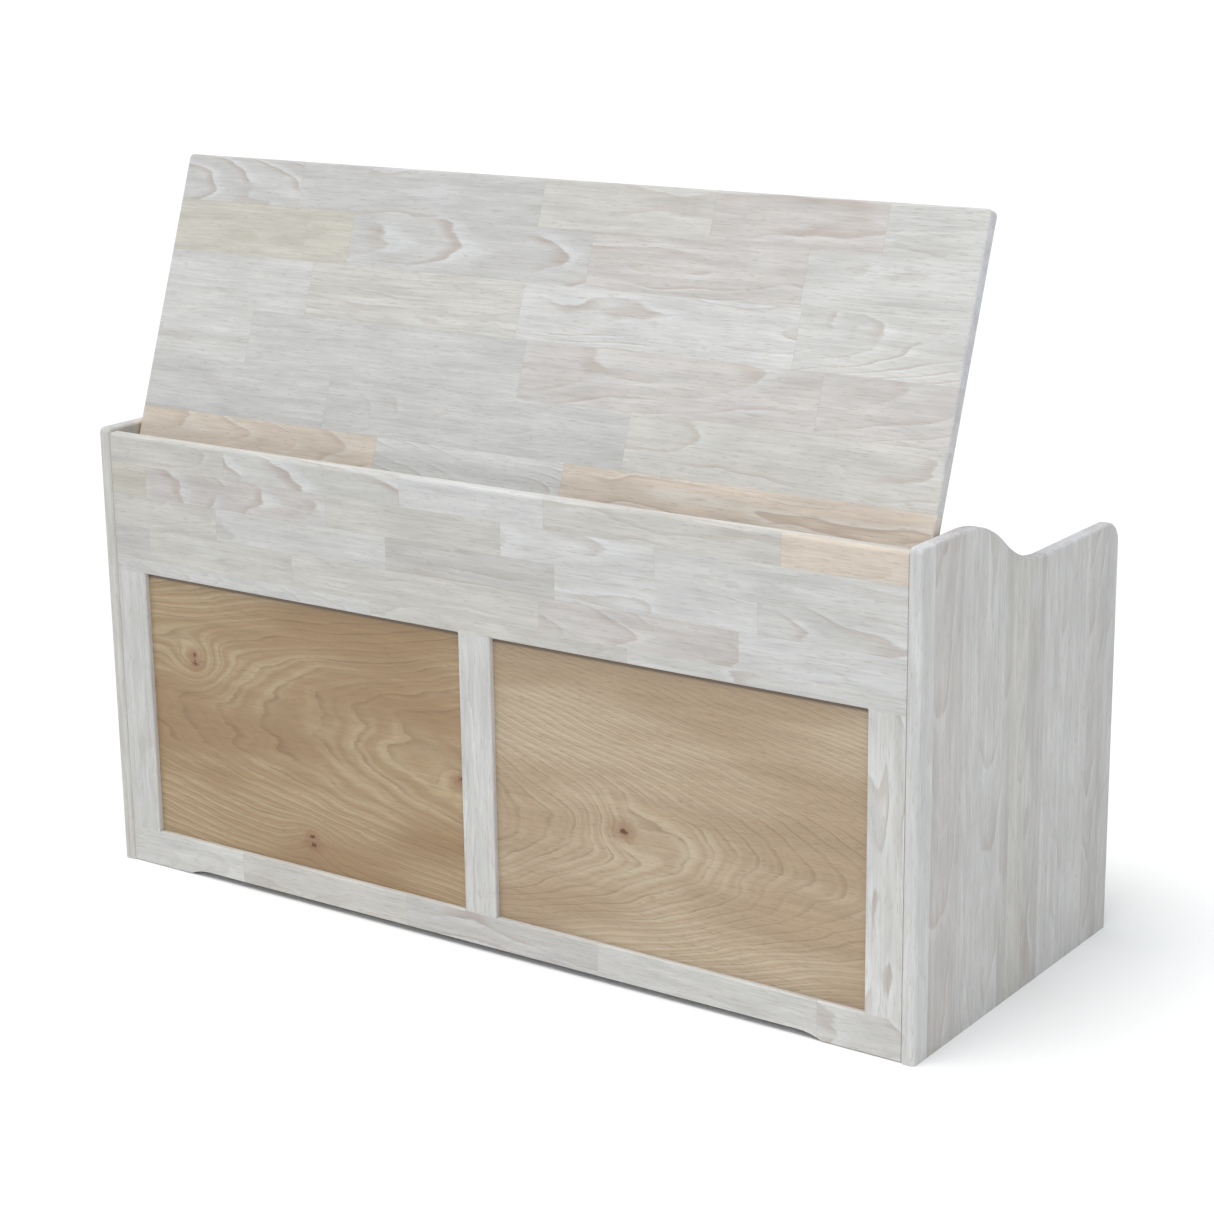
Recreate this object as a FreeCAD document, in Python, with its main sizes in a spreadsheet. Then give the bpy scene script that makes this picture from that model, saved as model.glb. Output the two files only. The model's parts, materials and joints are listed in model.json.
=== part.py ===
# Wooden toy box with a raised back rail and a friction-hinged lid, stored with the lid propped open.
# Frame: origin at the middle of the box on the floor, X to the right when facing the front,
# Y towards the back, Z up. All sizes are in millimetres and degrees.
import FreeCAD, Part
import math
import os
import Sketcher
from FreeCAD import Placement, Rotation, Vector

doc = FreeCAD.newDocument("toy_box")
sheet = doc.addObject("Spreadsheet::Sheet", "sizes")

driving_sizes = [
    ("overall_width", 1016, "outside of the side panels"),
    ("overall_depth", 414, "front to back edge of the side panels"),
    ("overall_height", 498, "side panel height at the back"),
    ("side_drop", 58, "side panels' front below their back"),
    ("board_thickness", 15, "solid boards of the sides, frames and lid"),
    ("edge_round", 4, "roundover of the side panels and top rails"),
    ("back_level", 81, "level top of the side panel, from its back edge"),
    ("ogee_length", 166, "double curve between the two top levels"),
    ("front_corner_radius", 24, "top front corner of the side panel"),
    ("back_corner_radius", 6, "top back corner of the side panel"),
    ("frame_setback", 2, "frames sit inside the side panels' edges"),
    ("rail_floor_gap", 1, "bottom rails clear of the floor"),
    ("back_rail_drop", 5, "back rail below the side panels' top"),
    ("stile_width", 40, "end and centre stiles"),
    ("bottom_rail_height", 40, "bottom rails"),
    ("front_rail_height", 48.8, "front top rail"),
    ("groove_depth", 6, "groove for the panels and tongues"),
    ("groove_edge_gap", 1, "panel and tongue ends clear of the groove's bottom"),
    ("plywood_thickness", 3, "infill panels, grooves and tongues"),
    ("opening_round", 2, "roundover round each opening's outer edge"),
    ("foot_length", 85.5, "foot of a bottom rail beside the side panel"),
    ("cutout_height", 6, "cut-out between the feet"),
    ("cove_radius", 65, "curved ends of the cut-out"),
    ("lid_recess", 23.5, "closed lid's top below the side panels' front"),
    ("lid_side_gap", 1.5, "lid to each side panel"),
    ("lid_front_setback", 1.2, "closed lid behind the side panels' front edges"),
    ("lid_corner_radius", 5, "lid corners in plan"),
    ("lid_edge_round", 3, "lid edges"),
    ("lid_open_angle", 70.5, "stored opening of the lid"),
    ("hinge_drop", 5, "hinge axis below the lid's top face"),
    ("hinge_spread", 330, "centre hinge to each outer hinge"),
    ("hinge_length", 70, "leaf and pin length"),
    ("barrel_radius", 6, "hinge knuckles"),
    ("barrel_rail_gap", 0.3, "knuckles to the back rail"),
    ("barrel_lid_gap", 0.5, "knuckles to the lid's back edge"),
    ("rail_knuckle_length", 18, "each of the two knuckles on the rail leaf"),
    ("knuckle_gap", 0.4, "between neighbouring knuckles"),
    ("pin_radius", 2.5, "hinge pin"),
    ("sleeve_radius", 4, "outside of the friction sleeve"),
    ("sleeve_gap", 0.05, "sleeve to the pin"),
    ("leaf_thickness", 2, "hinge leaves"),
    ("leaf_height", 38, "hinge leaves, from the axis"),
    ("leaf_screw_rise", 14, "first screw row from the hinge axis"),
    ("leaf_screw_pitch", 16, "first to second screw row"),
    ("leaf_screw_spread", 25, "screws to each side of the hinge's middle"),
    ("screw_radius", 1.75, "all screw shanks"),
    ("screw_head_radius", 3.5, "all screw heads"),
    ("screw_clearance", 0.2, "shank to the hole in a hinge leaf"),
    ("hinge_screw_length", 12, "screws in the hinge leaves"),
    ("cleat_screw_length", 25, "screws in the cleats"),
    ("floor_screw_length", 16, "screws in the floor panel"),
    ("screw_margin", 43, "end of a cleat to its last screw"),
    ("floor_height", 36, "top of the floor panel"),
    ("floor_thickness", 6, "plywood floor panel"),
    ("floor_gap", 1, "floor panel to the walls"),
    ("cleat_size", 15, "square cleats and batten height"),
    ("batten_width", 40, "battens across the floor"),
    ("batten_spread", 165, "each batten from the middle"),
    ("dowel_radius", 4, "dowels between frames and side panels"),
    ("dowel_length", 30, "dowels"),
    ("dowel_side_depth", 10, "dowel depth in the side panel"),
    ("rail_dowel_margin", 22, "dowels from a top rail's edges"),
    ("stile_dowel_margin", 60, "dowels from a stile's ends"),
    ("bumper_radius", 3.5, "rubber bumpers"),
    ("bumper_height", 12.5, "rubber bumpers, an airing gap under the lid"),
    ("bumper_gap", 0.2, "bumper to the closed lid"),
    ("bumper_inset", 60, "bumper from the side panel"),
]

for row, (alias, value, note) in enumerate(driving_sizes, start=1):
    sheet.set(f"A{row}", alias)
    sheet.set(f"B{row}", str(value))
    sheet.set(f"C{row}", note)
    sheet.setAlias(f"B{row}", alias)
doc.recompute()

# Derived sizes and places, as expressions on the sheet's values.
inner_width = "(sizes.overall_width - 2 * sizes.board_thickness)"
inner_depth = "(sizes.overall_depth - 2 * sizes.frame_setback - 2 * sizes.board_thickness)"
front_height = "(sizes.overall_height - sizes.side_drop)"
half_width = "(sizes.overall_width / 2)"
half_depth = "(sizes.overall_depth / 2)"
half_inner_width = f"({inner_width} / 2)"
half_inner_depth = f"({inner_depth} / 2)"
frame_face = f"({half_depth} - sizes.frame_setback)"
frame_middle = f"({frame_face} - sizes.board_thickness / 2)"
opening_width = f"(({inner_width} - 3 * sizes.stile_width) / 2)"
opening_bottom = "(sizes.rail_floor_gap + sizes.bottom_rail_height)"
back_rail_top = "(sizes.overall_height - sizes.back_rail_drop)"
lid_top = f"({front_height} - sizes.lid_recess)"
lid_underside = f"({lid_top} - sizes.board_thickness)"
front_rail_top = f"({lid_underside} - sizes.bumper_gap - sizes.bumper_height)"
opening_top = f"({front_rail_top} - sizes.front_rail_height)"
opening_height = f"({opening_top} - {opening_bottom})"
groove_front = "(-sizes.board_thickness / 2 + sizes.plywood_thickness / 2)"
groove_back = "(-sizes.board_thickness / 2 - sizes.plywood_thickness / 2)"
groove_engagement = "(sizes.groove_depth - sizes.groove_edge_gap)"
axis_depth = f"({half_inner_depth} - sizes.barrel_rail_gap - sizes.barrel_radius)"
axis_height = f"({lid_top} - sizes.hinge_drop)"
lid_knuckle_length = "(sizes.hinge_length - 2 * sizes.rail_knuckle_length - 2 * sizes.knuckle_gap)"
lid_drop = "(sizes.board_thickness - sizes.hinge_drop)"
cleat_top = "(sizes.floor_height - sizes.floor_thickness)"
cleat_bottom = f"({cleat_top} - sizes.cleat_size)"
cleat_middle = f"({cleat_top} - sizes.cleat_size / 2)"
side_cleat_length = f"({inner_depth} - 2 * sizes.cleat_size)"
long_pitch = f"(({inner_width} - 2 * sizes.screw_margin) / 4)"
short_pitch = f"(({side_cleat_length} - 2 * sizes.screw_margin) / 2)"

subparts = []


def number(expression):
    """The present value of an expression on the sheet."""
    result = sheet.evalExpression(expression.replace("sizes.", ""))
    return float(getattr(result, "Value", result))


def keep(item, label):
    """List an object as a sub-part under the name of its file."""
    item.Label = label
    subparts.append(item)
    return item


def place(item, across="0", back="0", up="0", axis=None, angle="0"):
    """Put an object at bound coordinates, turned by a bound angle about an axis."""
    if axis is not None:
        item.Placement = Placement(Vector(), Rotation(axis, number(angle)))
        item.setExpression("Placement.Rotation.Angle", angle)
    item.setExpression("Placement.Base.x", across)
    item.setExpression("Placement.Base.y", back)
    item.setExpression("Placement.Base.z", up)
    return item


def new_sketch(body, plane, name, offset="0"):
    """Sketch on one of the body's own origin planes, moved along its normal by a bound offset."""
    sketch = body.newObject("Sketcher::SketchObject", name)
    origin_plane = [item for item in body.Origin.OriginFeatures if item.Role == plane][0]
    sketch.AttachmentSupport = [(origin_plane, "")]
    sketch.MapMode = "FlatFace"
    if offset != "0":
        sketch.setExpression("AttachmentOffset.Base.z", offset)
    return sketch


def pin_point(sketch, edge, end, across, up):
    """Tie one end of an edge to the sketch's origin."""
    for kind, axis, expression in (("DistanceX", -2, across), ("DistanceY", -1, up)):
        if expression == "0":
            sketch.addConstraint(Sketcher.Constraint("PointOnObject", edge, end, axis))
            continue
        constraint = Sketcher.Constraint(kind, -1, 1, edge, end, number(expression))
        index = sketch.addConstraint(constraint)
        sketch.setExpression(f"Constraints[{index}]", expression)


def draw_outline(sketch, corners):
    """Closed outline of straight lines, with each corner tied to the origin."""
    points = [Vector(number(across), number(up), 0) for across, up in corners]
    for index, point in enumerate(points):
        following = points[(index + 1) % len(points)]
        sketch.addGeometry(Part.LineSegment(point, following), False)
    for index in range(len(points)):
        following = (index + 1) % len(points)
        sketch.addConstraint(Sketcher.Constraint("Coincident", index, 2, following, 1))
    for index, (across, up) in enumerate(corners):
        pin_point(sketch, index, 1, across, up)


def draw_rectangle(sketch, left, bottom, right, top):
    draw_outline(sketch, [(left, bottom), (right, bottom), (right, top), (left, top)])


def draw_arc(sketch, centre, radius, first_angle, last_angle):
    """Arc turned anticlockwise from the first angle to the last, in degrees."""
    circle = Part.Circle(centre, Vector(0, 0, 1), radius)
    arc = Part.ArcOfCircle(circle, math.radians(first_angle), math.radians(last_angle))
    return sketch.addGeometry(arc, False)


def bind_radius(sketch, edge, expression):
    constraint = sketch.addConstraint(Sketcher.Constraint("Radius", edge, number(expression)))
    sketch.setExpression(f"Constraints[{constraint}]", expression)


def draw_circle(sketch, radius, across="0", up="0"):
    centre = Vector(number(across), number(up), 0)
    index = sketch.addGeometry(Part.Circle(centre, Vector(0, 0, 1), number(radius)), False)
    pin_point(sketch, index, 3, across, up)
    bind_radius(sketch, index, radius)


def extrude(body, sketch, length, kind="Pad", symmetric=False, reverse=False):
    """Pad or pocket a sketch by a bound length."""
    feature = body.newObject(f"PartDesign::{kind}", f"{sketch.Name}_{kind.lower()}")
    feature.Profile = sketch
    feature.SideType = "Symmetric" if symmetric else "One side"
    feature.Reversed = reverse
    feature.setExpression("Length", length)
    body.Tip = feature
    doc.recompute()
    return feature


def fillet_edges(body, name, radius, chosen):
    """Round the edges of the body's last feature that pass a test."""
    base = body.Tip
    names = [f"Edge{i}" for i, edge in enumerate(base.Shape.Edges, start=1) if chosen(edge)]
    feature = body.newObject("PartDesign::Fillet", name)
    feature.Base = (base, names)
    feature.setExpression("Radius", radius)
    body.Tip = feature
    doc.recompute()
    return feature


def mirror_feature(body, feature, plane):
    origin_plane = [item for item in body.Origin.OriginFeatures if item.Role == plane][0]
    mirrored = body.newObject("PartDesign::Mirrored", f"{feature.Name}_mirrored")
    mirrored.Originals = [feature]
    mirrored.MirrorPlane = (origin_plane, [""])
    body.Tip = mirrored
    doc.recompute()
    return mirrored


def new_body(name):
    return doc.addObject("PartDesign::Body", name)


def box(name, length, width, height):
    item = doc.addObject("Part::Box", name)
    item.setExpression("Length", length)
    item.setExpression("Width", width)
    item.setExpression("Height", height)
    return item


def drilled(base, label, tools):
    """A wooden piece with the holes of the screws or dowels that sit in it."""
    result = base
    for tool in tools:
        cut = doc.addObject("Part::Cut", f"{base.Name}_with_{tool.Name}")
        cut.Base = result
        cut.Tool = tool
        result = cut
    return keep(result, label)


# Screws and dowels come first, because the wood is drilled with their own shapes.
def make_screw(name, length):
    """Countersunk screw, its head's top at the origin and its point towards -Z."""
    body = new_body(name)
    sketch = new_sketch(body, "XZ_Plane", f"{name}_section")
    head_height = "(sizes.screw_head_radius - sizes.screw_radius)"
    corners = [
        ("0", "0"),
        ("sizes.screw_head_radius", "0"),
        ("sizes.screw_radius", f"-{head_height}"),
        ("sizes.screw_radius", f"-({length} - sizes.screw_radius)"),
        ("0", f"-{length}"),
    ]
    draw_outline(sketch, corners)
    turned = body.newObject("PartDesign::Revolution", f"{name}_turned")
    turned.Profile = sketch
    turned.ReferenceAxis = (sketch, ["V_Axis"])
    body.Tip = turned
    return body


def make_dowel(name):
    """Dowel along +X, from inside the side panel into the frame."""
    dowel = doc.addObject("Part::Cylinder", name)
    dowel.setExpression("Radius", "sizes.dowel_radius")
    dowel.setExpression("Height", "sizes.dowel_length")
    return dowel


def make_group(master, name, spots):
    """Copies of one fastener at bound places, as separate solids of one sub-part."""
    links = []
    for index, (across, back, up, rotation) in enumerate(spots, start=1):
        link = doc.addObject("App::Link", f"{name}_{index}")
        link.LinkedObject = master
        link.Placement = Placement(Vector(), rotation)
        link.setExpression("Placement.Base.x", across)
        link.setExpression("Placement.Base.y", back)
        link.setExpression("Placement.Base.z", up)
        links.append(link)
    group = doc.addObject("Part::Compound", name)
    group.Links = links
    return keep(group, name)


point_down = Rotation()
point_up = Rotation(Vector(1, 0, 0), 180)
point_back = Rotation(Vector(1, 0, 0), 90)
point_front = Rotation(Vector(1, 0, 0), -90)
point_right = Rotation(Vector(0, 1, 0), -90)
point_left = Rotation(Vector(0, 1, 0), 90)
along_right = Rotation(Vector(0, 1, 0), 90)
along_left = Rotation(Vector(0, 1, 0), -90)

hinge_places = [("left", "-sizes.hinge_spread"), ("centre", "0"), ("right", "sizes.hinge_spread")]
leaf_rows = ["sizes.leaf_screw_rise", "(sizes.leaf_screw_rise + sizes.leaf_screw_pitch)"]
leaf_columns = ["(-sizes.leaf_screw_spread)", "sizes.leaf_screw_spread"]
rail_leaf_face = f"({half_inner_depth} - sizes.leaf_thickness)"
lid_leaf_face = f"({lid_drop} + sizes.leaf_thickness)"

rail_screw_spots = []
lid_screw_spots = []
for _, hinge_across in hinge_places:
    for column in leaf_columns:
        for rise in leaf_rows:
            across = f"({hinge_across} + {column})"
            rail_screw_spots.append((across, rail_leaf_face, f"({axis_height} - {rise})", point_back))
            lid_screw_spots.append((across, f"-{rise}", f"-{lid_leaf_face}", point_up))

cleat_screw_spots = []
floor_screw_spots = []
cleat_face = f"({half_inner_depth} - sizes.cleat_size)"
cleat_line = f"({half_inner_depth} - sizes.cleat_size / 2)"
side_cleat_face = f"({half_inner_width} - sizes.cleat_size)"
side_cleat_line = f"({half_inner_width} - sizes.cleat_size / 2)"
for step in (-2, -1, 0, 1, 2):
    across = f"({step} * {long_pitch})"
    cleat_screw_spots.append((across, cleat_face, cleat_middle, point_back))
    cleat_screw_spots.append((across, f"-{cleat_face}", cleat_middle, point_front))
for step in (-1, 0, 1):
    back = f"({step} * {short_pitch})"
    cleat_screw_spots.append((side_cleat_face, back, cleat_middle, point_right))
    cleat_screw_spots.append((f"-{side_cleat_face}", back, cleat_middle, point_left))
for step in (-1.5, -0.5, 0.5, 1.5):
    across = f"({step} * {long_pitch})"
    floor_screw_spots.append((across, cleat_line, "sizes.floor_height", point_down))
    floor_screw_spots.append((across, f"-{cleat_line}", "sizes.floor_height", point_down))
for step in (-0.5, 0.5):
    back = f"({step} * {short_pitch})"
    for across in (side_cleat_line, "sizes.batten_spread"):
        floor_screw_spots.append((across, back, "sizes.floor_height", point_down))
        floor_screw_spots.append((f"-{across}", back, "sizes.floor_height", point_down))

dowel_spots = []
dowel_start = f"({half_inner_width} + sizes.dowel_side_depth)"
bottom_dowel_height = "(sizes.rail_floor_gap + (sizes.bottom_rail_height - sizes.groove_depth) / 2)"
stile_dowel_low = f"({opening_bottom} + sizes.stile_dowel_margin)"
stile_dowel_high = f"({opening_top} - sizes.stile_dowel_margin)"
top_dowel_low = f"({opening_top} + sizes.rail_dowel_margin)"
for middle, rail_top in ((frame_middle, back_rail_top), (f"-{frame_middle}", front_rail_top)):
    top_dowel_high = f"({rail_top} - sizes.rail_dowel_margin)"
    heights = [bottom_dowel_height, stile_dowel_low, stile_dowel_high, top_dowel_low, top_dowel_high]
    if rail_top == front_rail_top:
        heights = heights[:-1]
    for height in heights:
        dowel_spots.append((dowel_start, middle, height, along_left))
        dowel_spots.append((f"-{dowel_start}", middle, height, along_right))

hinge_screw = make_screw("hinge_screw", "sizes.hinge_screw_length")
cleat_screw = make_screw("cleat_screw", "sizes.cleat_screw_length")
floor_screw = make_screw("floor_screw", "sizes.floor_screw_length")
dowel = make_dowel("dowel")
rail_hinge_screws = make_group(hinge_screw, "rail_hinge_screws", rail_screw_spots)
lid_hinge_screws = make_group(hinge_screw, "lid_hinge_screws", lid_screw_spots)
cleat_screws = make_group(cleat_screw, "cleat_screws", cleat_screw_spots)
floor_screws = make_group(floor_screw, "floor_screws", floor_screw_spots)
frame_dowels = make_group(dowel, "frame_dowels", dowel_spots)
doc.recompute()


def make_side_panel(name, across):
    """Side panel in the YZ plane with an ogee between its high back and its low front."""
    body = new_body(name)
    sketch = new_sketch(body, "YZ_Plane", f"{name}_profile")
    ogee_start = f"({half_depth} - sizes.back_level)"
    ogee_end = f"({ogee_start} - sizes.ogee_length)"
    back, start, end = number(half_depth), number(ogee_start), number(ogee_end)
    high, low = number("sizes.overall_height"), number(front_height)
    back_radius = number("sizes.back_corner_radius")
    front_radius = number("sizes.front_corner_radius")
    half_run, half_drop = (start - end) / 2, (high - low) / 2
    ogee_radius = (half_run ** 2 + half_drop ** 2) / (2 * half_drop)
    ogee_turn = math.degrees(math.asin(half_run / ogee_radius))

    def draw_line(first_across, first_up, last_across, last_up):
        line = Part.LineSegment(Vector(first_across, first_up, 0), Vector(last_across, last_up, 0))
        return sketch.addGeometry(line, False)

    bottom = draw_line(-back, 0, back, 0)
    back_edge = draw_line(back, 0, back, high - back_radius)
    back_centre = Vector(back - back_radius, high - back_radius, 0)
    back_corner = draw_arc(sketch, back_centre, back_radius, 0, 90)
    back_top = draw_line(back - back_radius, high, start, high)
    bulge_centre = Vector(start, high - ogee_radius, 0)
    bulge = draw_arc(sketch, bulge_centre, ogee_radius, 90, 90 + ogee_turn)
    hollow_centre = Vector(end, low + ogee_radius, 0)
    hollow = draw_arc(sketch, hollow_centre, ogee_radius, 270, 270 + ogee_turn)
    front_top = draw_line(end, low, front_radius - back, low)
    front_centre = Vector(front_radius - back, low - front_radius, 0)
    front_corner = draw_arc(sketch, front_centre, front_radius, 90, 180)
    front_edge = draw_line(-back, low - front_radius, -back, 0)
    tangent_ends = [
        (back_edge, 2, back_corner, 1),
        (back_corner, 2, back_top, 1),
        (back_top, 2, bulge, 1),
        (bulge, 2, hollow, 2),
        (hollow, 1, front_top, 1),
        (front_top, 2, front_corner, 1),
        (front_corner, 2, front_edge, 1),
    ]
    for ends in tangent_ends:
        sketch.addConstraint(Sketcher.Constraint("Tangent", *ends))
    sketch.addConstraint(Sketcher.Constraint("Coincident", bottom, 2, back_edge, 1))
    sketch.addConstraint(Sketcher.Constraint("Coincident", front_edge, 2, bottom, 1))
    for edge in (back_edge, front_edge):
        sketch.addConstraint(Sketcher.Constraint("Vertical", edge))
    for edge in (back_top, front_top):
        sketch.addConstraint(Sketcher.Constraint("Horizontal", edge))
    sketch.addConstraint(Sketcher.Constraint("Equal", bulge, hollow))
    bind_radius(sketch, back_corner, "sizes.back_corner_radius")
    bind_radius(sketch, front_corner, "sizes.front_corner_radius")
    pin_point(sketch, bottom, 1, f"-{half_depth}", "0")
    pin_point(sketch, bottom, 2, half_depth, "0")
    pin_point(sketch, back_top, 2, ogee_start, "sizes.overall_height")
    pin_point(sketch, front_top, 1, ogee_end, front_height)
    extrude(body, sketch, "sizes.board_thickness")

    def outer_edge(edge):
        return edge.BoundBox.XLength < 1e-6 and edge.BoundBox.ZMax > 1

    fillet_edges(body, f"{name}_roundover", "sizes.edge_round", outer_edge)
    return place(body, across)


side_tools = [frame_dowels, cleat_screws]
left_side = make_side_panel("left_side", f"-{half_width}")
right_side = make_side_panel("right_side", f"({half_width} - sizes.board_thickness)")
drilled(left_side, "left_side_panel", side_tools)
drilled(right_side, "right_side_panel", side_tools)


def put_in_frame(item, facing, up="0", across="0"):
    """Stand a frame piece behind its outer face, turned round for the front frame."""
    if facing == "back":
        return place(item, across, frame_face, up)
    return place(item, f"-{across}", f"-{frame_face}", up, Vector(0, 0, 1), "180")


def round_openings(body, name, edge_up, outwards):
    """Roundover along the outer edge of both openings, between the stiles."""
    sketch = new_sketch(body, "YZ_Plane", f"{name}_opening_round", "(sizes.stile_width / 2)")
    radius, height = number("sizes.opening_round"), number(edge_up)
    corner = Vector(0, height, 0)
    on_face = Vector(0, height + outwards * radius, 0)
    on_edge = Vector(-radius, height, 0)
    first_angle = 270 if outwards > 0 else 0
    arc_at_face, arc_at_edge = (2, 1) if outwards > 0 else (1, 2)
    face_line = sketch.addGeometry(Part.LineSegment(corner, on_face), False)
    arc = draw_arc(sketch, Vector(-radius, on_face.y, 0), radius, first_angle, first_angle + 90)
    edge_line = sketch.addGeometry(Part.LineSegment(on_edge, corner), False)
    sketch.addConstraint(Sketcher.Constraint("Tangent", face_line, 2, arc, arc_at_face))
    sketch.addConstraint(Sketcher.Constraint("Tangent", arc, arc_at_edge, edge_line, 1))
    sketch.addConstraint(Sketcher.Constraint("Coincident", edge_line, 2, face_line, 1))
    sketch.addConstraint(Sketcher.Constraint("Vertical", face_line))
    sketch.addConstraint(Sketcher.Constraint("Horizontal", edge_line))
    pin_point(sketch, face_line, 1, "0", edge_up)
    bind_radius(sketch, arc, "sizes.opening_round")
    before = body.Tip.Shape.Volume
    pocket = extrude(body, sketch, opening_width, "Pocket", reverse=True)
    if not pocket.Shape.Volume < before:
        raise ValueError(f"{name}: the opening's roundover cut nothing")
    mirror_feature(body, pocket, "YZ_Plane")


def make_top_rail(facing, rail_top):
    name = f"{facing}_top"
    body = new_body(name)
    sketch = new_sketch(body, "YZ_Plane", f"{name}_section")
    height = f"({rail_top} - {opening_top})"
    corners = [
        ("0", "0"), ("0", height),
        ("-sizes.board_thickness", height), ("-sizes.board_thickness", "0"),
        (groove_back, "0"), (groove_back, "sizes.groove_depth"),
        (groove_front, "sizes.groove_depth"), (groove_front, "0"),
    ]
    draw_outline(sketch, corners)
    extrude(body, sketch, inner_width, symmetric=True)
    rail_height = number(height)

    def top_edge(edge):
        box_of_edge = edge.BoundBox
        return box_of_edge.XLength > 1 and abs(box_of_edge.ZMin - rail_height) < 1e-6

    fillet_edges(body, f"{name}_roundover", "sizes.edge_round", top_edge)
    round_openings(body, name, "0", 1)
    return put_in_frame(body, facing, opening_top)


def make_bottom_rail(facing):
    name = f"{facing}_bottom"
    body = new_body(name)
    height = "sizes.bottom_rail_height"
    floor_of_groove = f"({height} - sizes.groove_depth)"
    sketch = new_sketch(body, "YZ_Plane", f"{name}_section")
    corners = [
        ("0", "0"), ("0", height),
        (groove_front, height), (groove_front, floor_of_groove),
        (groove_back, floor_of_groove), (groove_back, height),
        ("-sizes.board_thickness", height), ("-sizes.board_thickness", "0"),
    ]
    draw_outline(sketch, corners)
    extrude(body, sketch, inner_width, symmetric=True)
    cut_out_foot(body, name)
    round_openings(body, name, height, -1)
    return put_in_frame(body, facing, "sizes.rail_floor_gap")


def cut_out_foot(body, name):
    """Shallow cut-out between the feet, with a cove at each end."""
    sketch = new_sketch(body, "XZ_Plane", f"{name}_cutout")
    foot_end = f"({half_inner_width} - sizes.foot_length)"
    end, rise, radius = number(foot_end), number("sizes.cutout_height"), number("sizes.cove_radius")
    run = (2 * radius * rise - rise ** 2) ** 0.5
    turn = math.degrees(math.asin(run / radius))
    top_end = end - run
    right_centre, left_centre = Vector(top_end, rise - radius, 0), Vector(-top_end, rise - radius, 0)
    bottom = sketch.addGeometry(Part.LineSegment(Vector(-end, 0, 0), Vector(end, 0, 0)), False)
    right = draw_arc(sketch, right_centre, radius, 90 - turn, 90)
    top = sketch.addGeometry(Part.LineSegment(Vector(top_end, rise, 0), Vector(-top_end, rise, 0)), False)
    left = draw_arc(sketch, left_centre, radius, 90, 90 + turn)
    sketch.addConstraint(Sketcher.Constraint("Coincident", bottom, 2, right, 1))
    sketch.addConstraint(Sketcher.Constraint("Tangent", right, 2, top, 1))
    sketch.addConstraint(Sketcher.Constraint("Tangent", top, 2, left, 1))
    sketch.addConstraint(Sketcher.Constraint("Coincident", left, 2, bottom, 1))
    sketch.addConstraint(Sketcher.Constraint("Horizontal", top))
    pin_point(sketch, bottom, 1, f"-{foot_end}", "0")
    pin_point(sketch, bottom, 2, foot_end, "0")
    height = sketch.addConstraint(Sketcher.Constraint("DistanceY", -1, 1, top, 1, rise))
    sketch.setExpression(f"Constraints[{height}]", "sizes.cutout_height")
    bind_radius(sketch, right, "sizes.cove_radius")
    bind_radius(sketch, left, "sizes.cove_radius")
    before = body.Tip.Shape.Volume
    pocket = extrude(body, sketch, "(4 * sizes.board_thickness)", "Pocket", symmetric=True)
    if not pocket.Shape.Volume < before:
        raise ValueError(f"{name}: the cut-out cut nothing")


def make_stile(name, facing, across, grooved):
    """Stile between the rails: grooved edges, and a tongue at each end for the rails' grooves."""
    body = new_body(name)
    width = "sizes.stile_width"
    left_groove = "sizes.groove_depth" if "left" in grooved else "0"
    right_groove = "sizes.groove_depth" if "right" in grooved else "0"
    corners = [("0", "0")]
    if "left" in grooved:
        corners += [("0", groove_front), (left_groove, groove_front)]
        corners += [(left_groove, groove_back), ("0", groove_back)]
    corners += [("0", "-sizes.board_thickness"), (width, "-sizes.board_thickness")]
    if "right" in grooved:
        inner = f"({width} - {right_groove})"
        corners += [(width, groove_back), (inner, groove_back)]
        corners += [(inner, groove_front), (width, groove_front)]
    corners += [(width, "0")]
    section = new_sketch(body, "XY_Plane", f"{name}_section")
    draw_outline(section, corners)
    extrude(body, section, opening_height)

    def opening_edge(edge):
        box_of_edge = edge.BoundBox
        if box_of_edge.ZLength < 1 or abs(box_of_edge.YMax) > 1e-6 or box_of_edge.YLength > 1e-6:
            return False
        at_left = "left" in grooved and abs(box_of_edge.XMin) < 1e-6
        at_right = "right" in grooved and abs(box_of_edge.XMin - number(width)) < 1e-6
        return at_left or at_right

    fillet_edges(body, f"{name}_roundover", "sizes.opening_round", opening_edge)
    tongue = new_sketch(body, "XY_Plane", f"{name}_tongue", f"-{groove_engagement}")
    draw_rectangle(tongue, left_groove, groove_back, f"({width} - {right_groove})", groove_front)
    extrude(body, tongue, f"({opening_height} + 2 * {groove_engagement})")
    return put_in_frame(body, facing, opening_bottom, across)


def make_infill_panel(name, facing, across):
    """Plywood panel held in the grooves; across is the middle of its opening."""
    panel_width = f"({opening_width} + 2 * {groove_engagement})"
    panel_height = f"({opening_height} + 2 * {groove_engagement})"
    panel = box(name, panel_width, "sizes.plywood_thickness", panel_height)
    middle = frame_middle if facing == "back" else f"-{frame_middle}"
    back = f"({middle} - sizes.plywood_thickness / 2)"
    place(panel, f"({across} - {panel_width} / 2)", back, f"({opening_bottom} - {groove_engagement})")
    return keep(panel, name)


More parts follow.
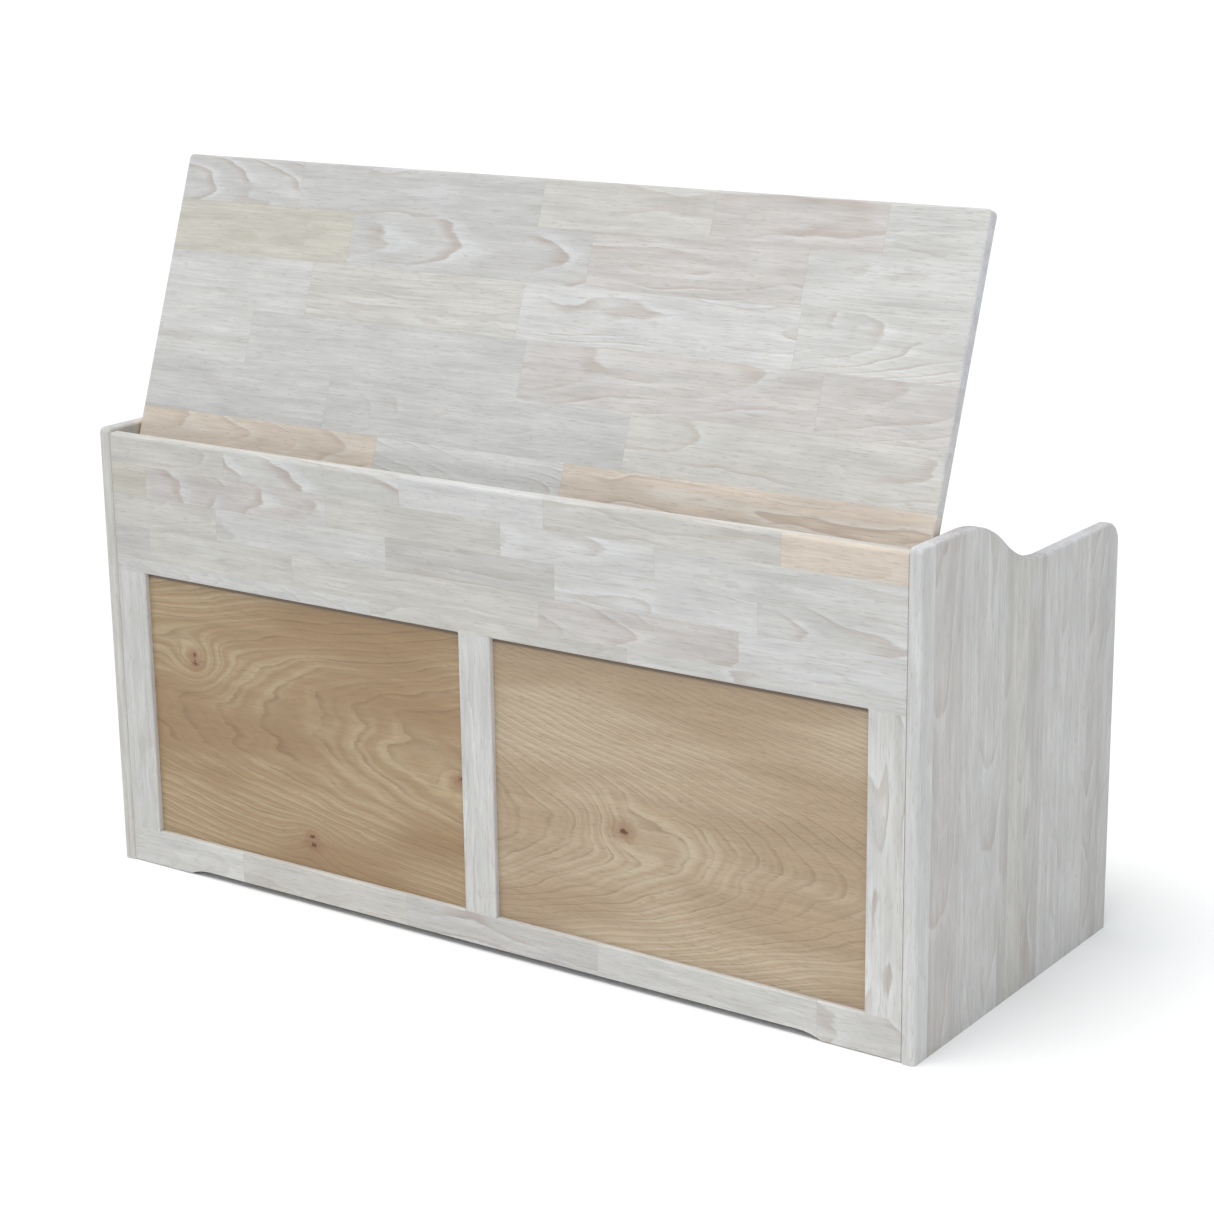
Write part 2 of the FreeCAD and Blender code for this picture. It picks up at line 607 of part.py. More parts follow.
def make_frame(facing, rail_top, top_tools):
    """Rails, stiles and infill panels of the back or the front."""
    drilled(make_top_rail(facing, rail_top), f"{facing}_top_rail", top_tools)
    drilled(make_bottom_rail(facing), f"{facing}_bottom_rail", [frame_dowels, cleat_screws])
    first, last = ("left", "right") if facing == "back" else ("right", "left")
    first_stile = make_stile(f"{facing}_stile_1", facing, f"-{half_inner_width}", ["right"])
    last_across = f"({half_inner_width} - sizes.stile_width)"
    last_stile = make_stile(f"{facing}_stile_3", facing, last_across, ["left"])
    centre_stile = make_stile(f"{facing}_stile_2", facing, "(-sizes.stile_width / 2)", ["left", "right"])
    drilled(first_stile, f"{facing}_{first}_stile", [frame_dowels])
    drilled(last_stile, f"{facing}_{last}_stile", [frame_dowels])
    keep(centre_stile, f"{facing}_centre_stile")
    panel_middle = f"((sizes.stile_width + {opening_width}) / 2)"
    make_infill_panel(f"{facing}_left_panel", facing, f"-{panel_middle}")
    make_infill_panel(f"{facing}_right_panel", facing, panel_middle)


make_frame("back", back_rail_top, [frame_dowels, rail_hinge_screws])
make_frame("front", front_rail_top, [frame_dowels])


def make_floor():
    """Floor panel on cleats along the four walls and two battens across."""
    for facing, back in (("back", cleat_face), ("front", f"-{half_inner_depth}")):
        cleat = box(f"{facing}_floor_cleat", inner_width, "sizes.cleat_size", "sizes.cleat_size")
        place(cleat, f"-{half_inner_width}", back, cleat_bottom)
        drilled(cleat, f"{facing}_cleat", [cleat_screws, floor_screws])
    side_start = f"(-{side_cleat_length} / 2)"
    for side, across in (("left", f"-{half_inner_width}"), ("right", side_cleat_face)):
        cleat = box(f"{side}_floor_cleat", "sizes.cleat_size", side_cleat_length, "sizes.cleat_size")
        place(cleat, across, side_start, cleat_bottom)
        drilled(cleat, f"{side}_cleat", [cleat_screws, floor_screws])
    for side, middle in (("left", "-sizes.batten_spread"), ("right", "sizes.batten_spread")):
        batten = box(f"{side}_floor_batten", "sizes.batten_width", side_cleat_length, "sizes.cleat_size")
        place(batten, f"({middle} - sizes.batten_width / 2)", side_start, cleat_bottom)
        drilled(batten, f"{side}_batten", [floor_screws])
    floor_width = f"({inner_width} - 2 * sizes.floor_gap)"
    floor_depth = f"({inner_depth} - 2 * sizes.floor_gap)"
    floor = box("floor", floor_width, floor_depth, "sizes.floor_thickness")
    place(floor, f"(-{floor_width} / 2)", f"(-{floor_depth} / 2)", cleat_top)
    drilled(floor, "floor_panel", [floor_screws])


make_floor()


# The lid and what turns with it are drawn closed, with the hinge axis as their own origin.
def put_on_lid(item, across="0"):
    return place(item, across, axis_depth, axis_height, Vector(-1, 0, 0), "sizes.lid_open_angle")


def make_lid():
    body = new_body("lid_board")
    lid_back = "(sizes.barrel_radius + sizes.barrel_lid_gap)"
    lid_front = f"({axis_depth} + {half_depth} - sizes.lid_front_setback)"
    lid_half_width = f"({half_inner_width} - sizes.lid_side_gap)"
    sketch = new_sketch(body, "XY_Plane", "lid_plan", f"-{lid_drop}")
    draw_rectangle(sketch, f"-{lid_half_width}", f"-{lid_front}", lid_half_width, f"-{lid_back}")
    extrude(body, sketch, "sizes.board_thickness")
    fillet_edges(body, "lid_corners", "sizes.lid_corner_radius", lambda edge: edge.BoundBox.ZLength > 1)
    fillet_edges(body, "lid_roundover", "sizes.lid_edge_round", lambda edge: edge.BoundBox.ZLength < 1e-6)
    return put_on_lid(body)


put_on_lid(lid_hinge_screws)
drilled(make_lid(), "lid", [lid_hinge_screws])


def sink_holes(body, name, plane, offset, reverse):
    """Four countersunk screw holes in a hinge leaf."""
    sketch = new_sketch(body, plane, f"{name}_holes", offset)
    for column in leaf_columns:
        for rise in leaf_rows:
            draw_circle(sketch, "sizes.screw_radius", column, f"-{rise}")
    doc.recompute()
    before = body.Tip.Shape.Volume
    hole = body.newObject("PartDesign::Hole", f"{name}_screw_holes")
    hole.Profile = sketch
    hole.DepthType = "ThroughAll"
    hole.Reversed = reverse
    hole.HoleCutType = "Countersink"
    hole.HoleCutCustomValues = True
    hole.HoleCutCountersinkAngle = 90
    hole.setExpression("Diameter", "2 * (sizes.screw_radius + sizes.screw_clearance)")
    hole.setExpression("HoleCutDiameter", "2 * sizes.screw_head_radius")
    body.Tip = hole
    doc.recompute()
    if not hole.Shape.Volume < before:
        raise ValueError(f"{name}: the screw holes cut nothing")


def make_rail_leaf(side):
    """Leaf on the back rail with a knuckle at each end, cleared for the lid's knuckle."""
    name = f"{side}_rail_leaf"
    body = new_body(name)
    leaf_back = "(sizes.barrel_radius + sizes.barrel_rail_gap)"
    leaf_front = f"({leaf_back} - sizes.leaf_thickness)"
    plate = new_sketch(body, "YZ_Plane", f"{name}_plate")
    draw_rectangle(plate, leaf_front, "-sizes.leaf_height", leaf_back, "0")
    extrude(body, plate, "sizes.hinge_length", symmetric=True)
    barrel = new_sketch(body, "YZ_Plane", f"{name}_barrel")
    draw_circle(barrel, "sizes.barrel_radius")
    extrude(body, barrel, "sizes.hinge_length", symmetric=True)
    notch = new_sketch(body, "YZ_Plane", f"{name}_notch")
    reach = f"({leaf_back} + sizes.barrel_lid_gap)"
    below = "-(sizes.barrel_radius + sizes.barrel_lid_gap)"
    draw_rectangle(notch, f"-{reach}", below, reach, reach)
    gap_length = "(sizes.hinge_length - 2 * sizes.rail_knuckle_length)"
    extrude(body, notch, gap_length, "Pocket", symmetric=True)
    bore = new_sketch(body, "YZ_Plane", f"{name}_bore")
    draw_circle(bore, "sizes.pin_radius")
    extrude(body, bore, "(2 * sizes.hinge_length)", "Pocket", symmetric=True)
    sink_holes(body, name, "XZ_Plane", f"-{leaf_front}", False)
    return body


def make_lid_leaf(side):
    """Cranked leaf: down the lid's back edge from the knuckle, then along the underside."""
    name = f"{side}_lid_leaf"
    body = new_body(name)
    outside = "-sizes.barrel_radius"
    inside = "(sizes.leaf_thickness - sizes.barrel_radius)"
    low = f"-{lid_leaf_face}"
    plate = new_sketch(body, "YZ_Plane", f"{name}_plate")
    draw_rectangle(plate, "-sizes.leaf_height", low, inside, f"-{lid_drop}")
    extrude(body, plate, "sizes.hinge_length", symmetric=True)
    strap = new_sketch(body, "YZ_Plane", f"{name}_strap")
    draw_rectangle(strap, outside, low, inside, "0")
    extrude(body, strap, lid_knuckle_length, symmetric=True)
    barrel = new_sketch(body, "YZ_Plane", f"{name}_barrel")
    draw_circle(barrel, "sizes.barrel_radius")
    extrude(body, barrel, lid_knuckle_length, symmetric=True)
    bore = new_sketch(body, "YZ_Plane", f"{name}_bore")
    draw_circle(bore, "sizes.sleeve_radius")
    extrude(body, bore, "(2 * sizes.hinge_length)", "Pocket", symmetric=True)
    sink_holes(body, name, "XY_Plane", low, True)
    return body


def make_sleeve(side):
    """Friction sleeve, pressed in the lid leaf and gripping the pin."""
    body = new_body(f"{side}_sleeve")
    ring = new_sketch(body, "YZ_Plane", f"{side}_sleeve_ring")
    draw_circle(ring, "sizes.sleeve_radius")
    draw_circle(ring, "(sizes.pin_radius + sizes.sleeve_gap)")
    extrude(body, ring, lid_knuckle_length, symmetric=True)
    return body


def make_pin(side, across):
    pin = doc.addObject("Part::Cylinder", f"{side}_pin")
    pin.setExpression("Radius", "sizes.pin_radius")
    pin.setExpression("Height", "sizes.hinge_length")
    start = f"({across} - sizes.hinge_length / 2)"
    return place(pin, start, axis_depth, axis_height, Vector(0, 1, 0), "90")


def make_hinge(side, across):
    rail_leaf = place(make_rail_leaf(side), across, axis_depth, axis_height)
    keep(rail_leaf, f"{side}_hinge_rail_leaf")
    keep(put_on_lid(make_lid_leaf(side), across), f"{side}_hinge_lid_leaf")
    keep(put_on_lid(make_sleeve(side), across), f"{side}_hinge_sleeve")
    keep(make_pin(side, across), f"{side}_hinge_pin")


for hinge_side, hinge_across in hinge_places:
    make_hinge(hinge_side, hinge_across)


def make_bumper(side, across):
    """Rubber bumper on the front rail, domed by a roundover."""
    body = new_body(f"{side}_bumper_disc")
    disc = new_sketch(body, "XY_Plane", f"{side}_bumper_plan")
    draw_circle(disc, "sizes.bumper_radius")
    extrude(body, disc, "sizes.bumper_height")
    top = number("sizes.bumper_height")
    fillet_edges(body, f"{side}_bumper_round", "(sizes.bumper_radius / 3)",
                 lambda edge: abs(edge.BoundBox.ZMin - top) < 1e-6)
    place(body, across, f"-{frame_middle}", front_rail_top)
    return keep(body, f"{side}_bumper")


bumper_across = f"({half_inner_width} - sizes.bumper_inset)"
make_bumper("left", f"-{bumper_across}")
make_bumper("right", bumper_across)

doc.recompute()

faults = [item.Name for item in doc.Objects if "Invalid" in item.State or "Error" in item.State]
for item in subparts:
    if item.Shape.isNull() or not item.Shape.isValid() or not item.Shape.Solids:
        faults.append(item.Label)
if faults:
    raise ValueError("not built: " + ", ".join(faults))

os.makedirs("parts", exist_ok=True)
for item in subparts:
    item.Shape.exportStep(f"parts/{item.Label}.step")
print(f"{len(subparts)} sub-parts written")
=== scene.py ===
import json
import math
import random

import bmesh
import bpy
from mathutils import Matrix, Vector

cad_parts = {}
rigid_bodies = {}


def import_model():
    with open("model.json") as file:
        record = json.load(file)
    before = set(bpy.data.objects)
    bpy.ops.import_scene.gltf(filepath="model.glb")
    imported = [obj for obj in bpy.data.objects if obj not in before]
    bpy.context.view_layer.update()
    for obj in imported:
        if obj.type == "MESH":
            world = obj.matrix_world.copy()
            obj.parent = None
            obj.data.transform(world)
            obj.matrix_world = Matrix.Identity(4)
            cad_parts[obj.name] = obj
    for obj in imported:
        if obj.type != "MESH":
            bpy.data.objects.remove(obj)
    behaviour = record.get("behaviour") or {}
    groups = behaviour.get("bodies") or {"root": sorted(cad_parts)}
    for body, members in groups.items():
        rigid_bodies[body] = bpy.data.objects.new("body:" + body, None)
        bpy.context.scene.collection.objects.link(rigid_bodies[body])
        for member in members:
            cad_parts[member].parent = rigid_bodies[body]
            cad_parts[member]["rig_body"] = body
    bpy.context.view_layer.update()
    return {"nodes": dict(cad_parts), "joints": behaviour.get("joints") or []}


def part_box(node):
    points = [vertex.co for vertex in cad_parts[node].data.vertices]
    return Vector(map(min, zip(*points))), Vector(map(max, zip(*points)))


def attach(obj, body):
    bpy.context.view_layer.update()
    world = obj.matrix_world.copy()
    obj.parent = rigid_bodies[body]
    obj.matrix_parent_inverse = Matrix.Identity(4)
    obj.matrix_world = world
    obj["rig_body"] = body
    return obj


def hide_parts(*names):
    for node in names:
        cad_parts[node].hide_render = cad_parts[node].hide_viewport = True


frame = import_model()
print("frame loaded")

hinge = frame["joints"][0]
openAngle = math.radians(hinge["range_deg"][1])
right, back, up = Vector((1, 0, 0)), Vector((0, 1, 0)), Vector((0, 0, 1))
lidForward = Vector((0, -math.cos(openAngle), math.sin(openAngle)))  # hinge to the lid's free edge


def newGroup(name, inputs, outputs):
    tree = bpy.data.node_groups.new(name, "ShaderNodeTree")
    for label, kind, value in inputs:
        socket = tree.interface.new_socket(label, in_out="INPUT", socket_type=kind)
        if value is not None:
            socket.default_value = value
    for label, kind in outputs:
        tree.interface.new_socket(label, in_out="OUTPUT", socket_type=kind)
    return tree, tree.nodes.new("NodeGroupInput"), tree.nodes.new("NodeGroupOutput")


def feed(tree, socket, value):
    if isinstance(value, bpy.types.NodeSocket):
        tree.links.new(value, socket)
    elif socket.type == "RGBA" and isinstance(value, (int, float)):
        socket.default_value = (value, value, value, 1)
    elif value is not None:
        socket.default_value = value


def calc(tree, operation, first, second=None, third=None):
    node = tree.nodes.new("ShaderNodeMath")
    node.operation = operation
    for socket, value in zip(node.inputs, (first, second, third)):
        feed(tree, socket, value)
    return node.outputs[0]


def vectorCalc(tree, operation, first, second=None):
    node = tree.nodes.new("ShaderNodeVectorMath")
    node.operation = operation
    feed(tree, node.inputs[0], first)
    feed(tree, node.inputs[1], second)
    return node.outputs["Value" if operation in ("LENGTH", "DISTANCE") else "Vector"]


def noise(tree, point, scale, detail, roughness=0.5):
    node = tree.nodes.new("ShaderNodeTexNoise")
    feed(tree, node.inputs["Vector"], point)
    feed(tree, node.inputs["Scale"], scale)
    node.inputs["Detail"].default_value = detail
    node.inputs["Roughness"].default_value = roughness
    return node.outputs["Fac"]


def ramp(tree, value, low, high, lowOut=0.0, highOut=1.0):
    node = tree.nodes.new("ShaderNodeMapRange")
    node.interpolation_type = "SMOOTHSTEP"
    feed(tree, node.inputs["Value"], value)
    for label, amount in (("From Min", low), ("From Max", high), ("To Min", lowOut), ("To Max", highOut)):
        feed(tree, node.inputs[label], amount)
    return node.outputs["Result"]


def mixColor(tree, amount, first, second, blend="MIX"):
    node = tree.nodes.new("ShaderNodeMix")
    node.data_type = "RGBA"
    node.blend_type = blend
    feed(tree, node.inputs[0], amount)
    feed(tree, node.inputs[6], first)  # 6 and 7 are the colour sockets
    feed(tree, node.inputs[7], second)
    return node.outputs[2]


def scaled(tree, point, factors):
    return vectorCalc(tree, "MULTIPLY", point, factors)


def objectPoint(tree):
    return tree.nodes.new("ShaderNodeTexCoord").outputs["Object"]


def useGroup(tree, group, **values):
    node = tree.nodes.new("ShaderNodeGroup")
    node.node_tree = group
    for label, value in values.items():
        feed(tree, node.inputs[label[0].upper() + label[1:]], value)
    return node


def newMaterial(name):
    material = bpy.data.materials.new(name)
    material.use_nodes = True
    tree = material.node_tree
    shader = tree.nodes["Principled BSDF"]
    return material, tree, shader


def bump(tree, shader, height, strength, distance):
    node = tree.nodes.new("ShaderNodeBump")
    feed(tree, node.inputs["Height"], height)
    node.inputs["Strength"].default_value = strength
    node.inputs["Distance"].default_value = distance
    tree.links.new(node.outputs["Normal"], shader.inputs["Normal"])


# Growth rings of a tapered, wandering trunk, cut wherever the board lies in it.
def buildGrowthRings():
    tree, given, result = newGroup("growthRings", [
        ("Point", "NodeSocketVector", None),  # x along the grain, y and z from the heart
        ("Taper", "NodeSocketFloat", 0.05),
        ("Spacing", "NodeSocketFloat", 0.005),
        ("Wander", "NodeSocketFloat", 0.004),
        ("Feather", "NodeSocketFloat", 0.001),
        ("Seed", "NodeSocketFloat", 0.0),
        ("Push", "NodeSocketFloat", 0.0)],
        [("Line", "NodeSocketFloat"), ("Flash", "NodeSocketFloat"), ("Band", "NodeSocketFloat")])
    point, taper, spacing, wander, feather, seed, push = given.outputs[:7]
    offset = tree.nodes.new("ShaderNodeCombineXYZ")
    for index, share in enumerate((7.3, 3.1, 5.7)):
        feed(tree, offset.inputs[index], calc(tree, "MULTIPLY", seed, share))
    moved = vectorCalc(tree, "ADD", point, offset.outputs[0])
    broad = noise(tree, scaled(tree, moved, (6.0, 19.0, 9.0)), 1.0, 2.0, 0.45)
    ragged = noise(tree, scaled(tree, moved, (26.0, 330.0, 60.0)), 1.0, 2.0, 0.6)
    split = tree.nodes.new("ShaderNodeSeparateXYZ")
    feed(tree, split.inputs[0], point)
    across, deep = split.outputs[1], split.outputs[2]
    distance = calc(tree, "SQRT", calc(tree, "ADD", calc(tree, "MULTIPLY", across, across),
                                       calc(tree, "MULTIPLY", deep, deep)))
    height = calc(tree, "ADD", distance, calc(tree, "MULTIPLY", split.outputs[0], taper))
    sway = calc(tree, "MULTIPLY", calc(tree, "SUBTRACT", broad, 0.5), 4.0)
    height = calc(tree, "ADD", height, calc(tree, "MULTIPLY", sway, wander))
    fray = calc(tree, "MULTIPLY", calc(tree, "SUBTRACT", ragged, 0.5), 2.0)
    height = calc(tree, "ADD", height, calc(tree, "MULTIPLY", fray, feather))
    height = calc(tree, "ADD", height, push)
    rings = calc(tree, "DIVIDE", height, spacing)
    phase = calc(tree, "FRACT", rings)
    line = calc(tree, "SUBTRACT", ramp(tree, phase, 0.70, 0.95), ramp(tree, phase, 0.96, 1.0))
    wave = calc(tree, "COSINE", calc(tree, "MULTIPLY", rings, 2 * math.pi))
    feed(tree, result.inputs["Line"], line)
    feed(tree, result.inputs["Flash"], ramp(tree, phase, 0.34, 0.02))
    feed(tree, result.inputs["Band"], calc(tree, "MULTIPLY_ADD", wave, -0.5, 0.5))
    return tree


# Fine pores and streaks that run along the grain, and soft clouds of tone.
def buildPores():
    tree, given, result = newGroup("pores", [
        ("Point", "NodeSocketVector", None),
        ("Seed", "NodeSocketFloat", 0.0),
        ("Fineness", "NodeSocketFloat", 1.0)],
        [("Pores", "NodeSocketFloat"), ("Streaks", "NodeSocketFloat"), ("Fibres", "NodeSocketFloat"),
         ("Clouds", "NodeSocketFloat")])
    point, seed, fineness = given.outputs[:3]
    offset = tree.nodes.new("ShaderNodeCombineXYZ")
    for index, share in enumerate((1.9, 4.3, 2.7)):
        feed(tree, offset.inputs[index], calc(tree, "MULTIPLY", seed, share))
    moved = vectorCalc(tree, "ADD", point, offset.outputs[0])
    poreNoise = noise(tree, scaled(tree, moved, (85.0, 800.0, 800.0)), fineness, 1.0, 0.4)
    streakNoise = noise(tree, scaled(tree, moved, (6.0, 120.0, 120.0)), fineness, 3.0, 0.6)
    fibreNoise = noise(tree, scaled(tree, moved, (24.0, 460.0, 460.0)), fineness, 2.0, 0.55)
    cloudNoise = noise(tree, scaled(tree, moved, (13.0, 46.0, 46.0)), fineness, 3.0, 0.55)
    feed(tree, result.inputs["Pores"], ramp(tree, poreNoise, 0.58, 0.72))
    feed(tree, result.inputs["Streaks"], streakNoise)
    feed(tree, result.inputs["Fibres"], fibreNoise)
    feed(tree, result.inputs["Clouds"], cloudNoise)
    return tree


# A small pin knot: how far it pushes the rings, its dark eye and its stained halo.
def buildKnot():
    tree, given, result = newGroup("pinKnot", [
        ("Point", "NodeSocketVector", None),
        ("Place", "NodeSocketVector", None),
        ("Size", "NodeSocketFloat", 0.004)],
        [("Push", "NodeSocketFloat"), ("Eye", "NodeSocketFloat"), ("Halo", "NodeSocketFloat")])
    point, place, size = given.outputs[:3]
    away = vectorCalc(tree, "SUBTRACT", point, place)
    away = scaled(tree, away, (0.75, 1.0, 0.0))
    ragged = calc(tree, "SUBTRACT", noise(tree, point, 260.0, 3.0), 0.5)
    distance = vectorCalc(tree, "LENGTH", away)
    rough = calc(tree, "ADD", distance, calc(tree, "MULTIPLY", ragged, calc(tree, "MULTIPLY", size, 3.2)))
    share = calc(tree, "DIVIDE", rough, size)
    reach = calc(tree, "DIVIDE", distance, calc(tree, "MULTIPLY", size, 7.0))
    fall = calc(tree, "EXPONENT", calc(tree, "MULTIPLY", calc(tree, "MULTIPLY", reach, reach), -1.0))
    feed(tree, result.inputs["Push"], calc(tree, "MULTIPLY", fall, calc(tree, "MULTIPLY", size, 1.5)))
    feed(tree, result.inputs["Eye"], ramp(tree, share, 0.85, 0.20))
    feed(tree, result.inputs["Halo"], ramp(tree, share, 3.9, 0.5))
    return tree


growthRings = buildGrowthRings()
pores = buildPores()
pinKnot = buildKnot()
print("shared node groups built")


rubberwood = {
    "lineTint": (0.395, 0.300, 0.245, 1),
    "poreTint": (0.40, 0.34, 0.29, 1),
    "flameTint": (0.78, 0.80, 0.80, 1),
    "endTint": (1.02, 1.03, 1.09, 1),
    "lineStrength": 0.62,
    "flashStrength": 0.34,
    "bandStrength": 0.10,
    "poreStrength": 0.34,
    "glueStrength": 0.07,
    "glueWidth": 0.0007,
    "buttStrength": 0.16,
    "buttWidth": 0.0008,
    "seamDepth": 2.0,
    "wander": 0.0042,
    "feather": 0.00035,
    "finestRing": 0.0034, "ringRange": 0.0045,  # a stave's seed picks its spacing
    "roughness": 0.60, "roughRange": 0.16,
    "specular": 0.28,
    "bumpStrength": 0.22, "bumpHeight": 0.0004,
}


def attribute(tree, name):
    node = tree.nodes.new("ShaderNodeAttribute")
    node.attribute_name = name
    return node


def makeRubberwood():
    v = rubberwood
    material, tree, shader = newMaterial("edgeGluedRubberwood")
    point = attribute(tree, "grainPoint").outputs["Vector"]
    tint = attribute(tree, "staveTint").outputs["Color"]
    look = attribute(tree, "staveLook")
    lookParts = tree.nodes.new("ShaderNodeSeparateColor")
    feed(tree, lookParts.inputs[0], look.outputs["Color"])
    figure, seed, taper = lookParts.outputs[:3]
    endGrain = look.outputs["Alpha"]
    edge = attribute(tree, "staveEdge")
    edgeParts = tree.nodes.new("ShaderNodeSeparateColor")
    feed(tree, edgeParts.inputs[0], edge.outputs["Color"])
    spacing = calc(tree, "MULTIPLY_ADD", seed, v["ringRange"], v["finestRing"])
    rings = useGroup(tree, growthRings, point=point, taper=taper, spacing=spacing,
                     wander=v["wander"], feather=v["feather"], seed=calc(tree, "MULTIPLY", seed, 9.0))
    fine = useGroup(tree, pores, point=point, seed=calc(tree, "MULTIPLY", seed, 5.0))
    # soft clouds and streaks of tone inside a stave
    tone = calc(tree, "MULTIPLY", ramp(tree, fine.outputs["Clouds"], 0.25, 0.75, 0.93, 1.06),
                ramp(tree, fine.outputs["Streaks"], 0.25, 0.75, 0.93, 1.065))
    color = mixColor(tree, 1.0, tint, tone, "MULTIPLY")
    # growth lines, with a lighter flash on their early side
    broken = ramp(tree, noise(tree, scaled(tree, point, (7.0, 34.0, 34.0)), 1.0, 2.0), 0.36, 0.58)
    strong = calc(tree, "MULTIPLY", figure, broken)
    early = calc(tree, "MULTIPLY", rings.outputs["Flash"], strong)
    flash = calc(tree, "MULTIPLY", early, v["flashStrength"])
    color = mixColor(tree, flash, color, v["flameTint"])
    drift = noise(tree, scaled(tree, point, (4.0, 24.0, 24.0)), 1.0, 3.0)
    flame = calc(tree, "MULTIPLY", ramp(tree, drift, 0.60, 0.72), v["flashStrength"])
    color = mixColor(tree, flame, color, v["flameTint"])
    line = calc(tree, "MULTIPLY", calc(tree, "MULTIPLY", rings.outputs["Line"], strong), v["lineStrength"])
    color = mixColor(tree, line, color, v["lineTint"])
    band = calc(tree, "MULTIPLY", calc(tree, "MULTIPLY", rings.outputs["Band"], figure), v["bandStrength"])
    color = mixColor(tree, band, color, v["lineTint"])
    pore = calc(tree, "MULTIPLY", fine.outputs["Pores"], v["poreStrength"])
    color = mixColor(tree, pore, color, v["poreTint"])
    fibre = ramp(tree, fine.outputs["Fibres"], 0.3, 0.7, 0.952, 1.046)
    color = mixColor(tree, 1.0, color, fibre, "MULTIPLY")
    # glue lines and butt joints
    nearest = calc(tree, "MINIMUM", edgeParts.outputs[2], edge.outputs["Alpha"])
    glue = ramp(tree, nearest, 0.0002, v["glueWidth"], v["glueStrength"], 0.0)
    ends = calc(tree, "MINIMUM", edgeParts.outputs[0], edgeParts.outputs[1])
    butt = ramp(tree, ends, 0.0002, v["buttWidth"], v["buttStrength"], 0.0)
    seam = calc(tree, "MAXIMUM", glue, butt)
    color = mixColor(tree, seam, color, v["lineTint"])
    color = mixColor(tree, endGrain, color, mixColor(tree, 1.0, color, v["endTint"], "MULTIPLY"))
    feed(tree, shader.inputs["Base Color"], color)
    rough = calc(tree, "MULTIPLY_ADD", fine.outputs["Fibres"], v["roughRange"], v["roughness"])
    feed(tree, shader.inputs["Roughness"], rough)
    shader.inputs["Specular IOR Level"].default_value = v["specular"]
    fibres = calc(tree, "MULTIPLY", fine.outputs["Fibres"], 0.5)
    height = calc(tree, "SUBTRACT", fibres, fine.outputs["Pores"])
    height = calc(tree, "SUBTRACT", height, calc(tree, "MULTIPLY", seam, v["seamDepth"]))
    bump(tree, shader, height, v["bumpStrength"], v["bumpHeight"])
    return material


rubberwoodMaterial = makeRubberwood()

staveTints = {
    "white": (0.615, 0.612, 0.598), "pale": (0.592, 0.586, 0.566), "cream": (0.577, 0.561, 0.526),
    "straw": (0.546, 0.524, 0.462), "grey": (0.545, 0.539, 0.526), "pink": (0.563, 0.538, 0.518),
    "dusk": (0.536, 0.522, 0.502), "peach": (0.640, 0.560, 0.478),
}


# A board's staves lie in rows. Each row has a width and its staves, as (length, tint, figure).
lidRows = {
    "widths": (0.050, 0.0565, 0.058, 0.0585, 0.058, 0.0575, 0.1),
    "staves": (
        ((0.168, "grey", 0.7), (0.318, "grey", 0.5), (0.204, "cream", 0.35), (0.190, "pink", 0.8),
         (0.2, "pale", 0.5)),
        ((0.186, "straw", 0.15), (0.062, "straw", 0.3), (0.308, "grey", 0.8), (0.247, "pink", 0.75),
         (0.3, "pale", 0.4)),
        ((0.205, "pale", 0.15), (0.278, "cream", 0.35), (0.323, "white", 0.75), (0.3, "pale", 0.7)),
        ((0.134, "pale", 0.3), (0.364, "grey", 0.12), (0.344, "pink", 0.55), (0.3, "pink", 0.45)),
        ((0.256, "grey", 0.15), (0.381, "grey", 0.25), (0.4, "cream", 0.5)),
        ((0.332, "peach", 0.5), (0.238, "white", 0.6), (0.5, "peach", 0.75)),
        ((0.28, "cream", 0.3), (0.35, "pale", 0.5), (0.5, "grey", 0.4)),
    ),
}
backRailRows = {
    "widths": (0.032, 0.034, 0.035, 0.036, 0.05),
    "staves": (
        ((0.165, "cream", 0.3), (0.238, "pale", 0.9), (0.18, "white", 0.3), (0.27, "cream", 0.4),
         (0.5, "peach", 0.25)),
        ((0.050, "straw", 0.3), (0.255, "pink", 0.85), (0.225, "cream", 0.15), (0.183, "white", 0.5),
         (0.5, "pale", 0.3)),
        ((0.150, "cream", 0.3), (0.233, "pale", 0.3), (0.212, "dusk", 0.55), (0.233, "white", 0.5),
         (0.5, "pale", 0.6)),
        ((0.051, "dusk", 0.1), (0.204, "cream", 0.4), (0.320, "cream", 0.3), (0.232, "pink", 0.5),
         (0.5, "white", 0.3)),
        ((0.36, "pale", 0.3), (0.32, "cream", 0.4), (0.5, "pale", 0.6)),
    ),
}
backBottomRows = {
    "widths": (0.1,),
    "staves": (((0.165, "pale", 0.2), (0.230, "cream", 0.3), (0.245, "grey", 0.8), (0.255, "pale", 0.25),
                (0.5, "pale", 0.8)),),
}
nearSideRows = {
    "widths": (0.025, 0.055, 0.085, 0.017, 0.033, 0.035, 0.050, 0.050, 0.038, 0.05),
    "staves": (
        ((1, "white", 0.2),), ((1, "pink", 0.5),), ((1, "pale", 0.45),), ((1, "dusk", 0.3),),
        ((1, "cream", 0.3),), ((1, "dusk", 0.6),), ((1, "pale", 0.3),), ((1, "pale", 0.2),),
        ((1, "dusk", 0.5),), ((1, "grey", 0.3),)),
}


